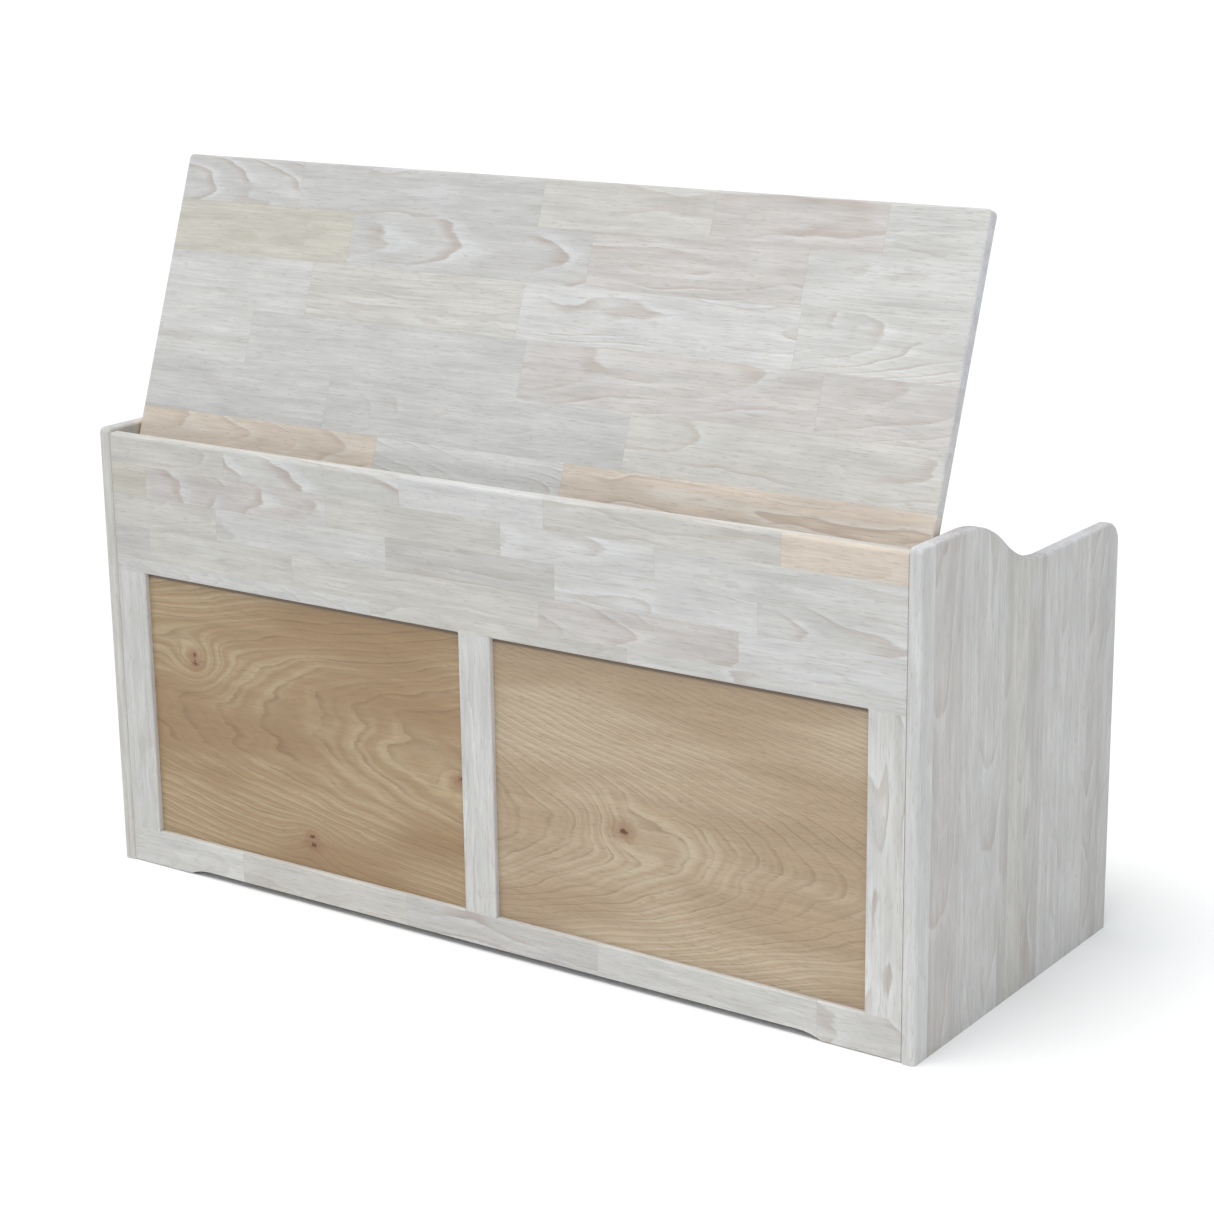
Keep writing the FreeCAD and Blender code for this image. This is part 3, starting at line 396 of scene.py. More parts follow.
def randomRows(seed, total, rowWidth, staveLength):
    rng = random.Random(seed)
    tints = ["white", "pale", "pale", "cream", "cream", "grey", "pink", "straw", "peach", "dusk"]
    widths, staves = [], []
    while sum(widths) < total:
        widths.append(rowWidth * rng.uniform(0.85, 1.15))
        row, length = [], rng.uniform(0.05, staveLength)
        while sum(stave[0] for stave in row) < 1.1:
            row.append((length, rng.choice(tints), rng.uniform(0.1, 0.8)))
            length = staveLength * rng.uniform(0.5, 1.4)
        staves.append(tuple(row))
    return {"widths": tuple(widths), "staves": tuple(staves)}


def onePiece(tint, figure):
    return {"widths": (1,), "staves": (((2, tint, figure),),)}


def spread(mesh, axis):
    places = [vertex.co.dot(axis) for vertex in mesh.verts]
    return min(places), max(places)


def cutAcross(mesh, faces, place, normal):
    parts = set(faces)
    for face in faces:
        parts.update(face.edges)
        parts.update(face.verts)
    bmesh.ops.bisect_plane(mesh, geom=list(parts), dist=1e-7, plane_co=place, plane_no=normal)


boardCuts = {
    "thinnestRow": 0.004,
    "shortestStave": 0.01,
    "weld": 1e-6,
    "creaseAngle": 40,
    "endFacing": 0.7,  # faces that point this much along the grain are end grain
    "taper": (0.03, 0.09),
    "heartAside": (-0.02, 0.02), "heartBelow": (0.03, 0.12),
}


# The board's solid, cut into its staves, with each stave's grain, tint and edges as attributes.
def makeBoard(name, along, across, rows, seed):
    v = boardCuts
    rng = random.Random(seed)
    deep = along.cross(across)
    mesh = bmesh.new()
    mesh.from_mesh(frame["nodes"][name].data)
    bmesh.ops.remove_doubles(mesh, verts=mesh.verts, dist=v["weld"])
    startAlong, endAlong = spread(mesh, along)
    startAcross, endAcross = spread(mesh, across)
    startDeep = spread(mesh, deep)[0]
    length, width = endAlong - startAlong, endAcross - startAcross
    staves = []  # (top, bottom, start, end, tint, figure)
    top = 0.0
    for rowWidth, row in zip(rows["widths"], rows["staves"]):
        if top > width - v["thinnestRow"]:
            break
        bottom = top + rowWidth if top + rowWidth < width - v["thinnestRow"] else width
        first = 0.0
        for staveLength, tint, figure in row:
            if first > length - v["shortestStave"]:
                break
            last = first + staveLength if first + staveLength < length - v["shortestStave"] else length
            staves.append((top, bottom, first, last, tint, figure))
            first = last
        top = bottom
    for top in sorted({stave[0] for stave in staves} - {0.0}):
        cutAcross(mesh, mesh.faces[:], across * (startAcross + top), across)
    for top, bottom, first, last, tint, figure in staves:
        if first > 0:
            inRow = [face for face in mesh.faces
                     if top < face.calc_center_median().dot(across) - startAcross < bottom]
            cutAcross(mesh, inRow, along * (startAlong + first), along)
    for face in mesh.faces:
        face.smooth = True
    for edge in mesh.edges:
        edge.smooth = not edge.is_manifold or edge.calc_face_angle() < math.radians(v["creaseAngle"])
    result = bpy.data.meshes.new(name + "_staves")
    mesh.to_mesh(result)
    mesh.free()

    grown = []
    for stave in staves:
        taper = rng.choice((-1, 1)) * rng.uniform(*v["taper"])
        heart = (rng.uniform(*v["heartAside"]), rng.uniform(*v["heartBelow"]))
        grown.append((rng.random(), taper, heart))
    result.attributes.new("grainPoint", "FLOAT_VECTOR", "CORNER")
    for label in ("staveTint", "staveLook", "staveEdge"):
        result.attributes.new(label, "FLOAT_COLOR", "CORNER")
    grain, tints = result.attributes["grainPoint"], result.attributes["staveTint"]
    looks, edges = result.attributes["staveLook"], result.attributes["staveEdge"]
    for polygon in result.polygons:
        middleAlong = polygon.center.dot(along) - startAlong
        middleAcross = polygon.center.dot(across) - startAcross
        index = min(range(len(staves)), key=lambda i: max(
            staves[i][0] - middleAcross, middleAcross - staves[i][1],
            staves[i][2] - middleAlong, middleAlong - staves[i][3]))
        top, bottom, first, last, tint, figure = staves[index]
        staveSeed, taper, heart = grown[index]
        endGrain = 1.0 if abs(polygon.normal.dot(along)) > v["endFacing"] else 0.0
        for loop in polygon.loop_indices:
            place = result.vertices[result.loops[loop].vertex_index].co
            a = place.dot(along) - startAlong
            b = place.dot(across) - startAcross
            c = place.dot(deep) - startDeep
            grain.data[loop].vector = (a - first, b - (top + bottom) / 2 - heart[0], c + heart[1])
            tints.data[loop].color = (*staveTints[tint], 1.0)
            looks.data[loop].color = (figure, staveSeed, taper, endGrain)
            # how far each of the stave's four seams is, with the board's own edges pushed far away
            edges.data[loop].color = (
                a - first + (first == 0), last - a + (last == length),
                b - top + (top == 0), bottom - b + (bottom == width))
    board = bpy.data.objects.new(name + "_wood", result)
    bpy.context.scene.collection.objects.link(board)
    weigh = board.modifiers.new("flatFaces", "WEIGHTED_NORMAL")
    weigh.keep_sharp = True
    weigh.weight = 100
    board.data.materials.append(rubberwoodMaterial)
    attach(board, frame["nodes"][name]["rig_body"])
    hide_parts(name)


makeBoard("lid", -right, -lidForward, lidRows, 11)
makeBoard("back_top_rail", -right, -up, backRailRows, 12)
makeBoard("back_bottom_rail", -right, -up, backBottomRows, 13)
makeBoard("left_side_panel", -up, -back, nearSideRows, 14)
makeBoard("right_side_panel", -up, -back, randomRows(21, 0.414, 0.048, 2.0), 15)
makeBoard("front_top_rail", right, -up, randomRows(22, 0.06, 0.03, 0.30), 16)
makeBoard("front_bottom_rail", right, -up, randomRows(23, 0.04, 0.05, 0.26), 17)
stileLooks = {
    "back_right": ("pale", 0.3), "back_centre": ("white", 0.5), "back_left": ("pale", 0.8),
    "front_left": ("cream", 0.4), "front_centre": ("pale", 0.4), "front_right": ("pink", 0.4),
}
for number, (place, look) in enumerate(stileLooks.items()):
    makeBoard(place + "_stile", -up, -right, onePiece(*look), 30 + number)
for number, wall in enumerate(("front", "back")):
    makeBoard(wall + "_cleat", right, up, onePiece("cream", 0.4), 40 + number)
for number, wall in enumerate(("left", "right")):
    makeBoard(wall + "_cleat", back, up, onePiece("cream", 0.4), 50 + number)
    makeBoard(wall + "_batten", back, right, onePiece("straw", 0.4), 60 + number)
print("boards cut into staves")


plywood = {
    "poreTint": (0.24, 0.155, 0.095, 1),
    "eyeTint": (0.085, 0.030, 0.016, 1),
    "haloTint": (0.27, 0.125, 0.062, 1),
    "wander": 0.0030,
    "feather": 0.00035,
    "bandStrength": 0.74,
    "lineStrength": 0.50,
    "innerStrength": 0.13,
    "patchStrength": 0.92,
    "poreStrength": 0.30,
    "haloStrength": 0.55, "eyeStrength": 0.85,
    "innerRings": 3.4,  # finer rings inside each ring
    # painted shade: a dark band painted on the sheet under the top rail, where the recessed sheet lies in
    # shade
    "paintedShadeTint": (0.13, 0.095, 0.07, 1), "paintedShadeStrength": 0.85,
    "paintedShadeTop": 0.0034, "paintedShadeFoot": 0.0062,  # where the painted shade band lies, below the rail's lower edge
    "roughness": 0.35, "roughRange": 0.18,
    "specular": 0.42,
    "bumpStrength": 0.3, "bumpHeight": 0.0004,
}


# tip is where the arches point, along the grain; a sheet's figure leans with its taper
def makePlywood(name, centre, tints, tip, taper, heart, spacing, knots, seed, reveal=0.0, flat=False):
    v = plywood
    paleTint, warmTint, darkTint = tints
    material, tree, shader = newMaterial(name)
    mapping = tree.nodes.new("ShaderNodeMapping")
    feed(tree, mapping.inputs["Vector"], objectPoint(tree))
    mapping.inputs["Location"].default_value = -centre
    parts = tree.nodes.new("ShaderNodeSeparateXYZ")
    feed(tree, parts.inputs[0], mapping.outputs[0])
    join = tree.nodes.new("ShaderNodeCombineXYZ")
    feed(tree, join.inputs[0], parts.outputs[0])
    feed(tree, join.inputs[1], parts.outputs[1 if flat else 2])
    feed(tree, join.inputs[2], parts.outputs[2 if flat else 1])
    sheet = join.outputs[0]  # x along the grain, y across it, z through the sheet
    push, eye, halo = 0.0, 0.0, 0.0
    for knotPlace, size in knots:
        knot = useGroup(tree, pinKnot, point=sheet, place=(*knotPlace, 0.0), size=size)
        push = calc(tree, "ADD", push, knot.outputs["Push"])
        eye = calc(tree, "MAXIMUM", eye, knot.outputs["Eye"])
        halo = calc(tree, "MAXIMUM", halo, knot.outputs["Halo"])
    fromHeart = vectorCalc(tree, "SUBTRACT", sheet, (0.0, tip, -heart))
    shared = {"point": fromHeart, "taper": taper, "wander": v["wander"], "feather": v["feather"],
              "seed": seed, "push": push}
    rings = useGroup(tree, growthRings, spacing=spacing, **shared)
    inner = useGroup(tree, growthRings, spacing=spacing / v["innerRings"], **shared)
    fine = useGroup(tree, pores, point=sheet, seed=seed)
    shifted = vectorCalc(tree, "ADD", scaled(tree, sheet, (3.4, 11.0, 3.0)), (seed, seed, 0.0))
    softened = calc(tree, "MULTIPLY_ADD", fine.outputs["Fibres"], 0.05, -0.025)
    patch = calc(tree, "ADD", noise(tree, shifted, 1.0, 2.0), softened)
    color = mixColor(tree, ramp(tree, patch, 0.40, 0.62, 0.0, v["patchStrength"]), paleTint, warmTint)
    band = calc(tree, "MULTIPLY", calc(tree, "POWER", rings.outputs["Band"], 1.7), v["bandStrength"])
    color = mixColor(tree, band, color, warmTint)
    shown = ramp(tree, noise(tree, scaled(tree, sheet, (5.0, 38.0, 5.0)), 1.0, 2.0), 0.36, 0.62, 0.40, 1.0)
    line = calc(tree, "MULTIPLY", calc(tree, "MULTIPLY", rings.outputs["Line"], shown), v["lineStrength"])
    color = mixColor(tree, line, color, darkTint)
    innerBand = calc(tree, "MULTIPLY", inner.outputs["Band"], shown)
    innerLine = calc(tree, "MULTIPLY", innerBand, v["innerStrength"])
    color = mixColor(tree, innerLine, color, darkTint)
    streak = ramp(tree, fine.outputs["Streaks"], 0.25, 0.75, 0.94, 1.065)
    color = mixColor(tree, 1.0, color, streak, "MULTIPLY")
    fibre = ramp(tree, fine.outputs["Fibres"], 0.3, 0.7, 0.965, 1.035)
    color = mixColor(tree, 1.0, color, fibre, "MULTIPLY")
    pore = calc(tree, "MULTIPLY", fine.outputs["Pores"], v["poreStrength"])
    color = mixColor(tree, pore, color, v["poreTint"])
    color = mixColor(tree, calc(tree, "MULTIPLY", halo, v["haloStrength"]), color, v["haloTint"])
    color = mixColor(tree, calc(tree, "MULTIPLY", eye, v["eyeStrength"]), color, v["eyeTint"])
    if reveal:  # painted shade: a dark band painted below the rail, where the sheet goes up into its groove
        foot, top = reveal - v["paintedShadeFoot"], reveal - v["paintedShadeTop"]
        paintedShadeAmount = ramp(tree, parts.outputs[2], foot, top, 0.0, v["paintedShadeStrength"])
        color = mixColor(tree, paintedShadeAmount, color, v["paintedShadeTint"])
    feed(tree, shader.inputs["Base Color"], color)
    rough = calc(tree, "MULTIPLY_ADD", fine.outputs["Fibres"], v["roughRange"], v["roughness"])
    feed(tree, shader.inputs["Roughness"], rough)
    shader.inputs["Specular IOR Level"].default_value = v["specular"]
    fibres = calc(tree, "MULTIPLY", fine.outputs["Fibres"], 0.6)
    height = calc(tree, "SUBTRACT", fibres, fine.outputs["Pores"])
    bump(tree, shader, height, v["bumpStrength"], v["bumpHeight"])
    return material


def boxCentre(name):
    low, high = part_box(name)
    return (low + high) / 2


def dress(name, material):
    node = frame["nodes"][name]
    for index in range(len(node.data.materials)):
        node.data.materials[index] = material


tan = ((0.462, 0.352, 0.218, 1), (0.340, 0.224, 0.121, 1), (0.205, 0.121, 0.062, 1))
sand = ((0.535, 0.440, 0.318, 1), (0.420, 0.308, 0.202, 1), (0.258, 0.170, 0.102, 1))
# Where each panel was peeled: the tip line, the run of the arches, and its knots from the middle.
panelFigures = {
    "back_right_panel": {"tints": tan, "tip": 0.0145, "taper": 0.067, "heart": 0.25, "spacing": 0.0040,
                         "seed": 1.7,
                         "knots": (((0.1535, 0.0655), 0.0030), ((0.1525, 0.0560), 0.0038),
                                   ((-0.0055, -0.1130), 0.0030), ((-0.0065, -0.1215), 0.0038),
                                   ((-0.2120, -0.0100), 0.0035))},
    "back_left_panel": {"tints": sand, "tip": -0.0355, "taper": -0.13, "heart": 0.15, "spacing": 0.0039,
                        "seed": 4.1, "knots": (((0.0605, -0.0255), 0.0046),)},
    "front_left_panel": {"tints": sand, "tip": 0.03, "taper": 0.09, "heart": 0.18, "spacing": 0.0042,
                         "seed": 6.3, "knots": (((-0.09, -0.06), 0.0040),)},
    "front_right_panel": {"tints": tan, "tip": -0.01, "taper": -0.08, "heart": 0.22, "spacing": 0.0040,
                          "seed": 8.9, "knots": (((0.12, 0.05), 0.0035), ((-0.14, -0.08), 0.0040))},
    "floor_panel": {"tints": sand, "tip": 0.02, "taper": 0.05, "heart": 0.30, "spacing": 0.0042,
                    "seed": 3.3, "knots": (((0.21, 0.07), 0.004), ((-0.3, -0.09), 0.004)), "flat": True},
}
for name, figure in panelFigures.items():
    if name != "floor_panel":
        rail = name.split("_")[0] + "_top_rail"
        # reveal sets how far up the sheet the painted shade under the rail reaches
        figure["reveal"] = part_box(rail)[0].z - boxCentre(name).z  # up to the rail above
    dress(name, makePlywood(name + "_plywood", boxCentre(name), **figure))
print("plywood dressed")


zincPlate = {
    "tint": (0.78, 0.79, 0.80, 1), "dullTint": (0.64, 0.65, 0.66, 1),
    "roughness": 0.30, "roughRange": 0.2,
    "bumpStrength": 0.08, "bumpHeight": 0.0002,
}


def makeZinc():
    v = zincPlate
    material, tree, shader = newMaterial("satinZinc")
    point = objectPoint(tree)
    spangle = noise(tree, point, 340.0, 3.0)
    brushed = noise(tree, scaled(tree, point, (60.0, 2400.0, 2400.0)), 1.0, 2.0)
    color = mixColor(tree, ramp(tree, spangle, 0.35, 0.65), v["tint"], v["dullTint"])
    feed(tree, shader.inputs["Base Color"], color)
    shader.inputs["Metallic"].default_value = 1.0
    feed(tree, shader.inputs["Roughness"],
         calc(tree, "MULTIPLY_ADD", brushed, v["roughRange"], v["roughness"]))
    bump(tree, shader, calc(tree, "ADD", spangle, brushed), v["bumpStrength"], v["bumpHeight"])
    return material


hingeSleeve = {
    "tint": (0.80, 0.79, 0.74, 1),
    "roughness": 0.38, "roughRange": 0.15,
    "bumpStrength": 0.1, "bumpHeight": 0.0002,
}


def makeNylon():
    v = hingeSleeve
    material, tree, shader = newMaterial("nylonSleeve")
    cloud = noise(tree, objectPoint(tree), 600.0, 3.0)
    color = mixColor(tree, 1.0, v["tint"], ramp(tree, cloud, 0.3, 0.7, 0.94, 1.0), "MULTIPLY")
    feed(tree, shader.inputs["Base Color"], color)
    feed(tree, shader.inputs["Roughness"],
         calc(tree, "MULTIPLY_ADD", cloud, v["roughRange"], v["roughness"]))
    bump(tree, shader, cloud, v["bumpStrength"], v["bumpHeight"])
    return material


bumperRubber = {
    "tint": (0.022, 0.022, 0.024, 1),
    "roughness": 0.6, "roughRange": 0.2,
    "bumpStrength": 0.3, "bumpHeight": 0.0003,
}


def makeRubber():
    v = bumperRubber
    material, tree, shader = newMaterial("rubberBumper")
    grit = noise(tree, objectPoint(tree), 2200.0, 4.0, 0.7)
    color = mixColor(tree, 1.0, v["tint"], ramp(tree, grit, 0.3, 0.7, 0.7, 1.5), "MULTIPLY")
    feed(tree, shader.inputs["Base Color"], color)
    feed(tree, shader.inputs["Roughness"],
         calc(tree, "MULTIPLY_ADD", grit, v["roughRange"], v["roughness"]))
    bump(tree, shader, grit, v["bumpStrength"], v["bumpHeight"])
    return material


dowelBeech = {
    "tint": (0.58, 0.40, 0.25, 1), "lineTint": (0.42, 0.26, 0.15, 1),
    "poreStrength": 0.5,
    "fineness": 1.6, "seed": 2.0,
    "roughness": 0.5, "roughRange": 0.2,
    "bumpStrength": 0.2, "bumpHeight": 0.0003,
}


def makeBeech():
    v = dowelBeech
    material, tree, shader = newMaterial("beechDowel")
    fine = useGroup(tree, pores, point=objectPoint(tree), seed=v["seed"], fineness=v["fineness"])
    color = mixColor(tree, ramp(tree, fine.outputs["Streaks"], 0.35, 0.65), v["tint"], v["lineTint"])
    pore = calc(tree, "MULTIPLY", fine.outputs["Pores"], v["poreStrength"])
    color = mixColor(tree, pore, color, v["lineTint"])
    feed(tree, shader.inputs["Base Color"], color)
    feed(tree, shader.inputs["Roughness"],
         calc(tree, "MULTIPLY_ADD", fine.outputs["Fibres"], v["roughRange"], v["roughness"]))
    bump(tree, shader, fine.outputs["Fibres"], v["bumpStrength"], v["bumpHeight"])
    return material


zinc, nylon, rubber, beech = makeZinc(), makeNylon(), makeRubber(), makeBeech()
for side in ("left", "centre", "right"):
    dress(side + "_hinge_rail_leaf", zinc)
    dress(side + "_hinge_lid_leaf", zinc)
    dress(side + "_hinge_pin", zinc)
    dress(side + "_hinge_sleeve", nylon)
for side in ("left", "right"):
    dress(side + "_bumper", rubber)
dress("frame_dowels", beech)
print("small parts dressed")

screws = {
    "sides": 32,
    "coreShare": 0.74,  # core to the outside of the thread
    "pitch": 0.0013,
    "crossLength": 0.0042, "crossWidth": 0.0009, "crossDepth": 0.0011,
    "smoothAngle": 35,
    "seed": 7,  # how each cross is turned
}


def islandsOf(mesh):
    seen, islands = set(), []
    for start in mesh.faces:
        if start in seen:
            continue
        seen.add(start)
        island, edge = [], [start]
        while edge:
            face = edge.pop()
            island.append(face)
            for link in face.edges:
                for other in link.link_faces:
                    if other not in seen:
                        seen.add(other)
                        edge.append(other)
        islands.append(island)
    return islands


# A screw's largest flat is the top of its head, and that flat faces along the screw.
def measureScrew(island):
    flats = {}
    for face in island:
        facing = tuple(round(part, 2) for part in face.normal)
        flats.setdefault(facing, []).append(face)
    top = max(flats.values(), key=lambda faces: sum(face.calc_area() for face in faces))
    # in mesh order, so that the sum comes out the same each run
    rim = sorted({vertex for face in top for vertex in face.verts}, key=lambda vertex: vertex.index)
    head = sum((vertex.co for vertex in rim), Vector()) / len(rim)
    axis = top[0].normal.normalized()
    depths, reaches = [], []
    for vertex in {vertex for face in island for vertex in face.verts}:
        depth = (head - vertex.co).dot(axis)
        depths.append(depth)
        reaches.append((head - vertex.co - axis * depth).length)
    length = max(depths)
    shank = max(reach for reach, depth in zip(reaches, depths) if depth > length * 0.4)
    return head, axis, length, max(reaches), shank


def buildScrewTree():
    tree = bpy.data.node_groups.new("countersunkScrews", "GeometryNodeTree")
    tree.is_modifier = True
    kinds = {"Geometry": "Geometry", "Material": "Material", "Sides": "Int", "Seed": "Int"}
    labels = ("Geometry", "Material", "Sides", "Seed", "Head Radius", "Shank Radius", "Length",
              "Core Share", "Pitch", "Cross Length", "Cross Width", "Cross Depth")
    identifiers = {}
    for label in labels:
        kind = "NodeSocket" + kinds.get(label, "Float")
        identifiers[label] = tree.interface.new_socket(label, in_out="INPUT", socket_type=kind).identifier
    tree.interface.new_socket("Geometry", in_out="OUTPUT", socket_type="NodeSocketGeometry")
    given = tree.nodes.new("NodeGroupInput").outputs
    result = tree.nodes.new("NodeGroupOutput")

    def node(kind, inputs, output=0, **settings):
        made = tree.nodes.new(kind)
        for key, value in settings.items():
            setattr(made, key, value)
        for key, value in inputs.items():
            feed(tree, made.inputs[key], value)
        return made.outputs[output]

    def joined(*parts):
        made = tree.nodes.new("GeometryNodeJoinGeometry")
        for part in parts:
            tree.links.new(part, made.inputs["Geometry"])
        return made.outputs[0]

    def number(operation, *values):
        return calc(tree, operation, *values)

    def vector(x, y, z):
        return node("ShaderNodeCombineXYZ", {0: x, 1: y, 2: z})

    def moved(part, z, turn=0.0):
        return node("GeometryNodeTransform", {"Geometry": part, "Translation": vector(0.0, 0.0, z),
                                              "Rotation": vector(0.0, 0.0, turn)})

    headRadius, shankRadius, length = given["Head Radius"], given["Shank Radius"], given["Length"]
    core = number("MULTIPLY", shankRadius, given["Core Share"])
    headHeight = number("SUBTRACT", headRadius, shankRadius)
    shaftLength = number("SUBTRACT", number("SUBTRACT", length, headHeight), shankRadius)
    head = node("GeometryNodeMeshCone", {"Vertices": given["Sides"], "Radius Top": headRadius,
                                         "Radius Bottom": shankRadius, "Depth": headHeight})
    head = moved(head, number("MULTIPLY", headHeight, -1.0))
    slot = node("GeometryNodeMeshCube", {"Size": vector(given["Cross Length"], given["Cross Width"],
                                                        number("MULTIPLY", given["Cross Depth"], 2.0))})
    cross = head
    for cutter in (slot, moved(slot, 0.0, math.pi / 2)):
        cross = node("GeometryNodeMeshBoolean", {0: cross, 1: cutter}, operation="DIFFERENCE")
    shaft = node("GeometryNodeMeshCylinder", {"Vertices": given["Sides"], "Radius": core,
                                              "Depth": shaftLength})
    shaftMiddle = number("MULTIPLY", number("ADD", headHeight, number("MULTIPLY", shaftLength, 0.5)), -1.0)
    tip = node("GeometryNodeMeshCone", {"Vertices": given["Sides"], "Radius Top": core,
                                        "Radius Bottom": 0.0, "Depth": shankRadius})
    ridge = number("MULTIPLY", number("SUBTRACT", shankRadius, core), 0.58)  # sinks into the core
    path = number("SUBTRACT", shankRadius, ridge)
    spiral = node("GeometryNodeCurveSpiral", {
        "Resolution": 16, "Rotations": number("DIVIDE", shaftLength, given["Pitch"]), "Start Radius": path,
        "End Radius": path, "Height": number("SUBTRACT", shaftLength, number("MULTIPLY", ridge, 2.0))})
    profile = node("GeometryNodeCurvePrimitiveCircle", {"Resolution": 4, "Radius": ridge})
    thread = node("GeometryNodeCurveToMesh", {"Curve": spiral, "Profile Curve": profile, "Fill Caps": True})
    threadFoot = number("SUBTRACT", number("ADD", shankRadius, ridge), length)
    screw = joined(cross, moved(shaft, shaftMiddle), moved(tip, number("MULTIPLY", length, -1.0)),
                   moved(thread, threadFoot))
    axis = node("GeometryNodeInputNamedAttribute", {"Name": "axis"}, data_type="FLOAT_VECTOR")
    aimed = node("FunctionNodeAlignRotationToVector", {"Vector": axis}, axis="Z")
    turn = tree.nodes.new("FunctionNodeRandomValue")
    turn.data_type = "FLOAT"
    for socket in turn.inputs:
        if socket.name == "Max" and socket.type == "VALUE":
            socket.default_value = math.pi
    tree.links.new(given["Seed"], turn.inputs["Seed"])
    angle = next(socket for socket in turn.outputs if socket.type == "VALUE")
    spin = node("FunctionNodeAxisAngleToRotation", {"Axis": (0.0, 0.0, 1.0), "Angle": angle})
    facing = node("FunctionNodeRotateRotation", {"Rotation": aimed, "Rotate By": spin},
                  rotation_space="LOCAL")
    placed = node("GeometryNodeInstanceOnPoints", {"Points": given["Geometry"], "Instance": screw,
                                                   "Rotation": facing})
    realized = node("GeometryNodeRealizeInstances", {"Geometry": placed})
    painted = node("GeometryNodeSetMaterial", {"Geometry": realized, "Material": given["Material"]})
    tree.links.new(painted, result.inputs["Geometry"])
    return tree, identifiers


def makeScrews(name, tree, identifiers):
    v = screws
    mesh = bmesh.new()
    mesh.from_mesh(frame["nodes"][name].data)
    bmesh.ops.remove_doubles(mesh, verts=mesh.verts, dist=1e-6)
    mesh.normal_update()
    mesh.verts.index_update()
    found = [measureScrew(island) for island in islandsOf(mesh)]
    mesh.free()
    points = bpy.data.meshes.new(name + "_points")
    points.from_pydata([screw[0] for screw in found], [], [])
    axes = points.attributes.new("axis", "FLOAT_VECTOR", "POINT")
    for number, screw in enumerate(found):
        axes.data[number].vector = screw[1]
    piece = bpy.data.objects.new(name + "_threaded", points)
    bpy.context.scene.collection.objects.link(piece)
    modifier = piece.modifiers.new("screws", "NODES")
    modifier.node_group = tree
    length, headRadius, shankRadius = found[0][2:]
    values = {"Material": zinc, "Sides": v["sides"], "Seed": v["seed"], "Head Radius": headRadius,
              "Shank Radius": shankRadius, "Length": length, "Core Share": v["coreShare"],
              "Pitch": v["pitch"], "Cross Length": v["crossLength"], "Cross Width": v["crossWidth"],
              "Cross Depth": v["crossDepth"]}
    for label, value in values.items():
        modifier[identifiers[label]] = value
    solid = bpy.data.meshes.new_from_object(piece.evaluated_get(bpy.context.evaluated_depsgraph_get()))
    piece.modifiers.clear()
    piece.data = solid
    shadeByAngle(solid, v["smoothAngle"])
    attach(piece, frame["nodes"][name]["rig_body"])
    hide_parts(name)
    print(name, len(found), "screws")


def shadeByAngle(solid, degrees):
    mesh = bmesh.new()
    mesh.from_mesh(solid)
    bmesh.ops.remove_doubles(mesh, verts=mesh.verts, dist=1e-6)
    for face in mesh.faces:
        face.smooth = True
    for edge in mesh.edges:
        edge.smooth = edge.is_manifold and edge.calc_face_angle() < math.radians(degrees)
    mesh.to_mesh(solid)
    mesh.free()


screwTree, screwInputs = buildScrewTree()
for name in ("rail_hinge_screws", "lid_hinge_screws", "cleat_screws", "floor_screws"):
    makeScrews(name, screwTree, screwInputs)


studio = {
    "floorTint": (0.93, 0.93, 0.93, 1), "floorSize": 120.0, "floorRoughness": 0.9, "floorShine": 0.1,
    "skyTint": (0.895, 0.948, 1.0, 1), "skyStrength": 0.545, "backdropTint": (1.0, 1.0, 1.0, 1),
    "sunTint": (1.0, 0.985, 0.955), "sunFrom": (0.10, 0.24, 0.95), "sunSoftness": 40, "sunPower": 2.12,
    "fillPlace": (-1.8, 1.6, 1.9), "fillSize": 0.9, "fillPower": 7.4, "fillTint": (0.95, 0.975, 1.0),
    "eye": (-1.6287, 2.2828, 1.0982), "heading": 35.17, "tilt": 15.49, "roll": 0.79,
    "lens": 81.25, "sensor": 36.0,
}


def makeFloor():
    mesh = bpy.data.meshes.new("studioFloor")
    half = studio["floorSize"] / 2
    corners = [(-half, -half, 0), (half, -half, 0), (half, half, 0), (-half, half, 0)]
    mesh.from_pydata(corners, [], [(0, 1, 2, 3)])
    floor = bpy.data.objects.new("studioFloor", mesh)
    bpy.context.scene.collection.objects.link(floor)
    material, tree, shader = newMaterial("paleFloor")
    mottle = noise(tree, objectPoint(tree), 3.0, 3.0)
    color = mixColor(tree, 1.0, studio["floorTint"], ramp(tree, mottle, 0.3, 0.7, 0.985, 1.0), "MULTIPLY")
    feed(tree, shader.inputs["Base Color"], color)
    shader.inputs["Roughness"].default_value = studio["floorRoughness"]
    shader.inputs["Specular IOR Level"].default_value = studio["floorShine"]
    mesh.materials.append(material)


def makeSun():
    lamp = bpy.data.lights.new("softSun", "SUN")
    lamp.energy, lamp.angle = studio["sunPower"], math.radians(studio["sunSoftness"])
    lamp.color = studio["sunTint"]
    sun = bpy.data.objects.new("softSun", lamp)
    sun.matrix_world = Vector(studio["sunFrom"]).to_track_quat("Z", "Y").to_matrix().to_4x4()
    bpy.context.scene.collection.objects.link(sun)


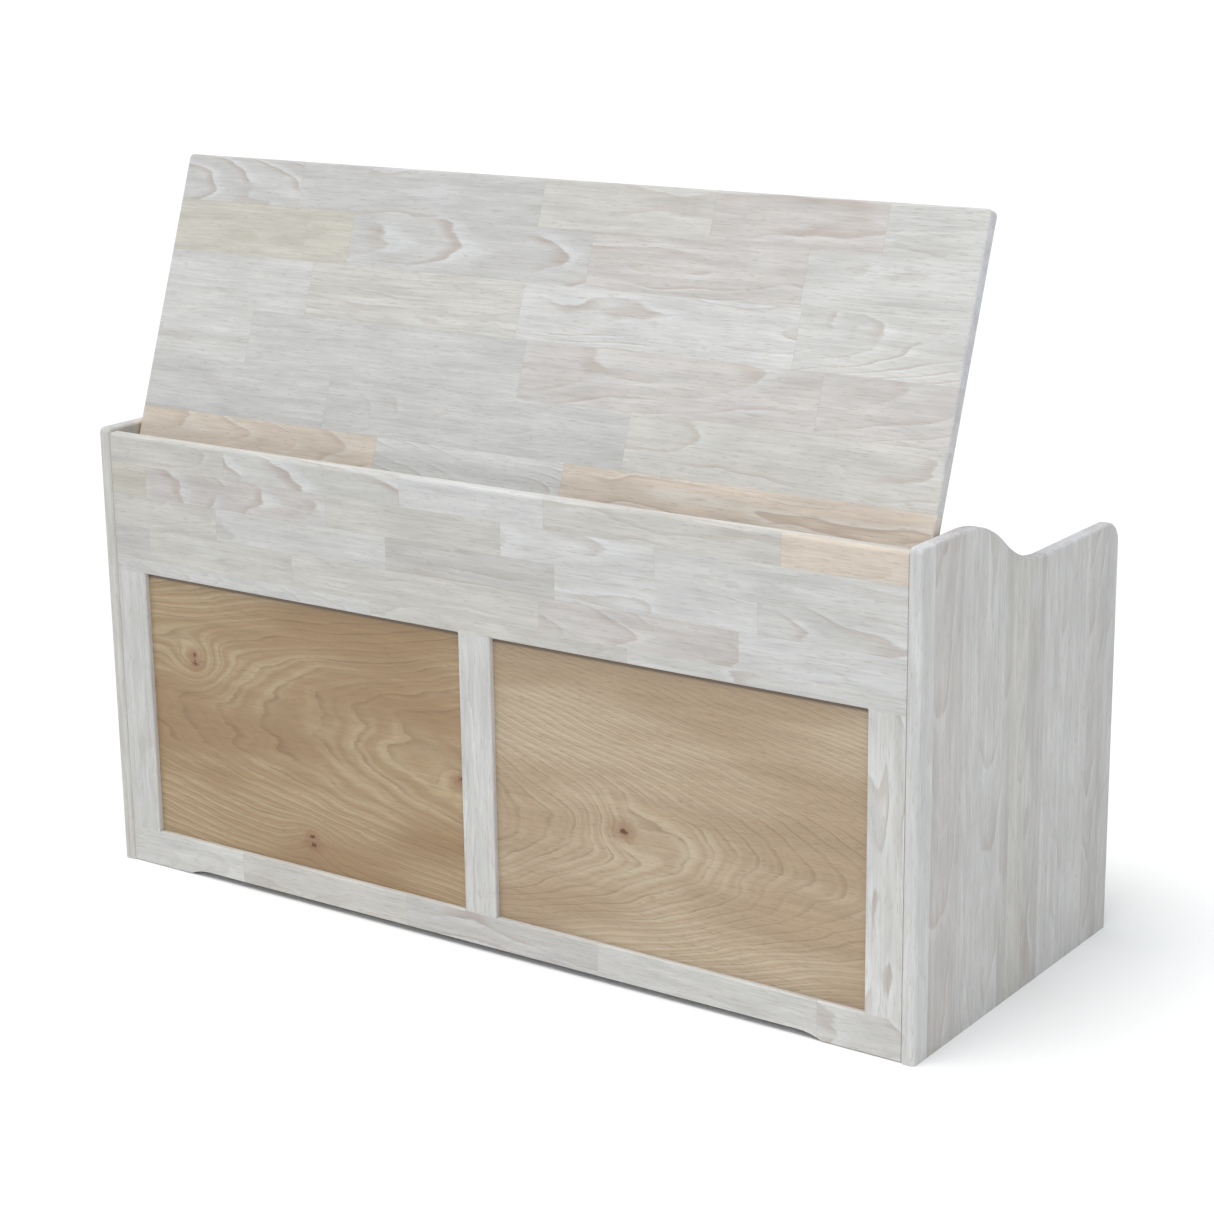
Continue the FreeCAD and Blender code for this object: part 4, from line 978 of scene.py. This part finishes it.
def makeFill():
    lamp = bpy.data.lights.new("fillLight", "AREA")
    lamp.shape, lamp.size, lamp.energy = "SQUARE", studio["fillSize"], studio["fillPower"]
    lamp.color = studio["fillTint"]
    fill = bpy.data.objects.new("fillLight", lamp)
    place = Vector(studio["fillPlace"])
    target = (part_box("left_side_panel")[0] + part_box("right_side_panel")[1]) / 2
    turn = (place - target).to_track_quat("Z", "Y").to_matrix().to_4x4()
    fill.matrix_world = Matrix.Translation(place) @ turn
    bpy.context.scene.collection.objects.link(fill)


def makeCamera():
    heading, tilt, roll = (math.radians(studio[key]) for key in ("heading", "tilt", "roll"))
    level = math.cos(tilt)
    forward = Vector((math.sin(heading) * level, -math.cos(heading) * level, -math.sin(tilt)))
    sideways = Vector((-math.cos(heading), -math.sin(heading), 0))
    down = forward.cross(sideways)
    acrossView = sideways * math.cos(roll) + down * math.sin(roll)
    downView = down * math.cos(roll) - sideways * math.sin(roll)
    turn = Matrix((acrossView, -downView, -forward)).transposed().to_4x4()
    lens = bpy.data.cameras.new("studioCamera")
    lens.lens, lens.sensor_width = studio["lens"], studio["sensor"]
    camera = bpy.data.objects.new("studioCamera", lens)
    camera.matrix_world = Matrix.Translation(studio["eye"]) @ turn
    bpy.context.scene.collection.objects.link(camera)
    bpy.context.scene.camera = camera


# The sky lights the box with a cool tint, and shows white behind it.
def makeSky():
    world = bpy.data.worlds.new("studioSky")
    world.use_nodes = True
    tree = world.node_tree
    sky = tree.nodes["Background"]
    sky.inputs["Color"].default_value = studio["skyTint"]
    sky.inputs["Strength"].default_value = studio["skyStrength"]
    backdrop = tree.nodes.new("ShaderNodeBackground")
    backdrop.inputs["Color"].default_value = studio["backdropTint"]
    seen = tree.nodes.new("ShaderNodeMixShader")
    feed(tree, seen.inputs[0], tree.nodes.new("ShaderNodeLightPath").outputs["Is Camera Ray"])
    feed(tree, seen.inputs[1], sky.outputs[0])
    feed(tree, seen.inputs[2], backdrop.outputs[0])
    feed(tree, tree.nodes["World Output"].inputs["Surface"], seen.outputs[0])
    bpy.context.scene.world = world


makeFloor()
makeSun()
makeFill()
makeCamera()
makeSky()
bpy.context.scene.view_settings.view_transform = "Standard"
print("studio set")
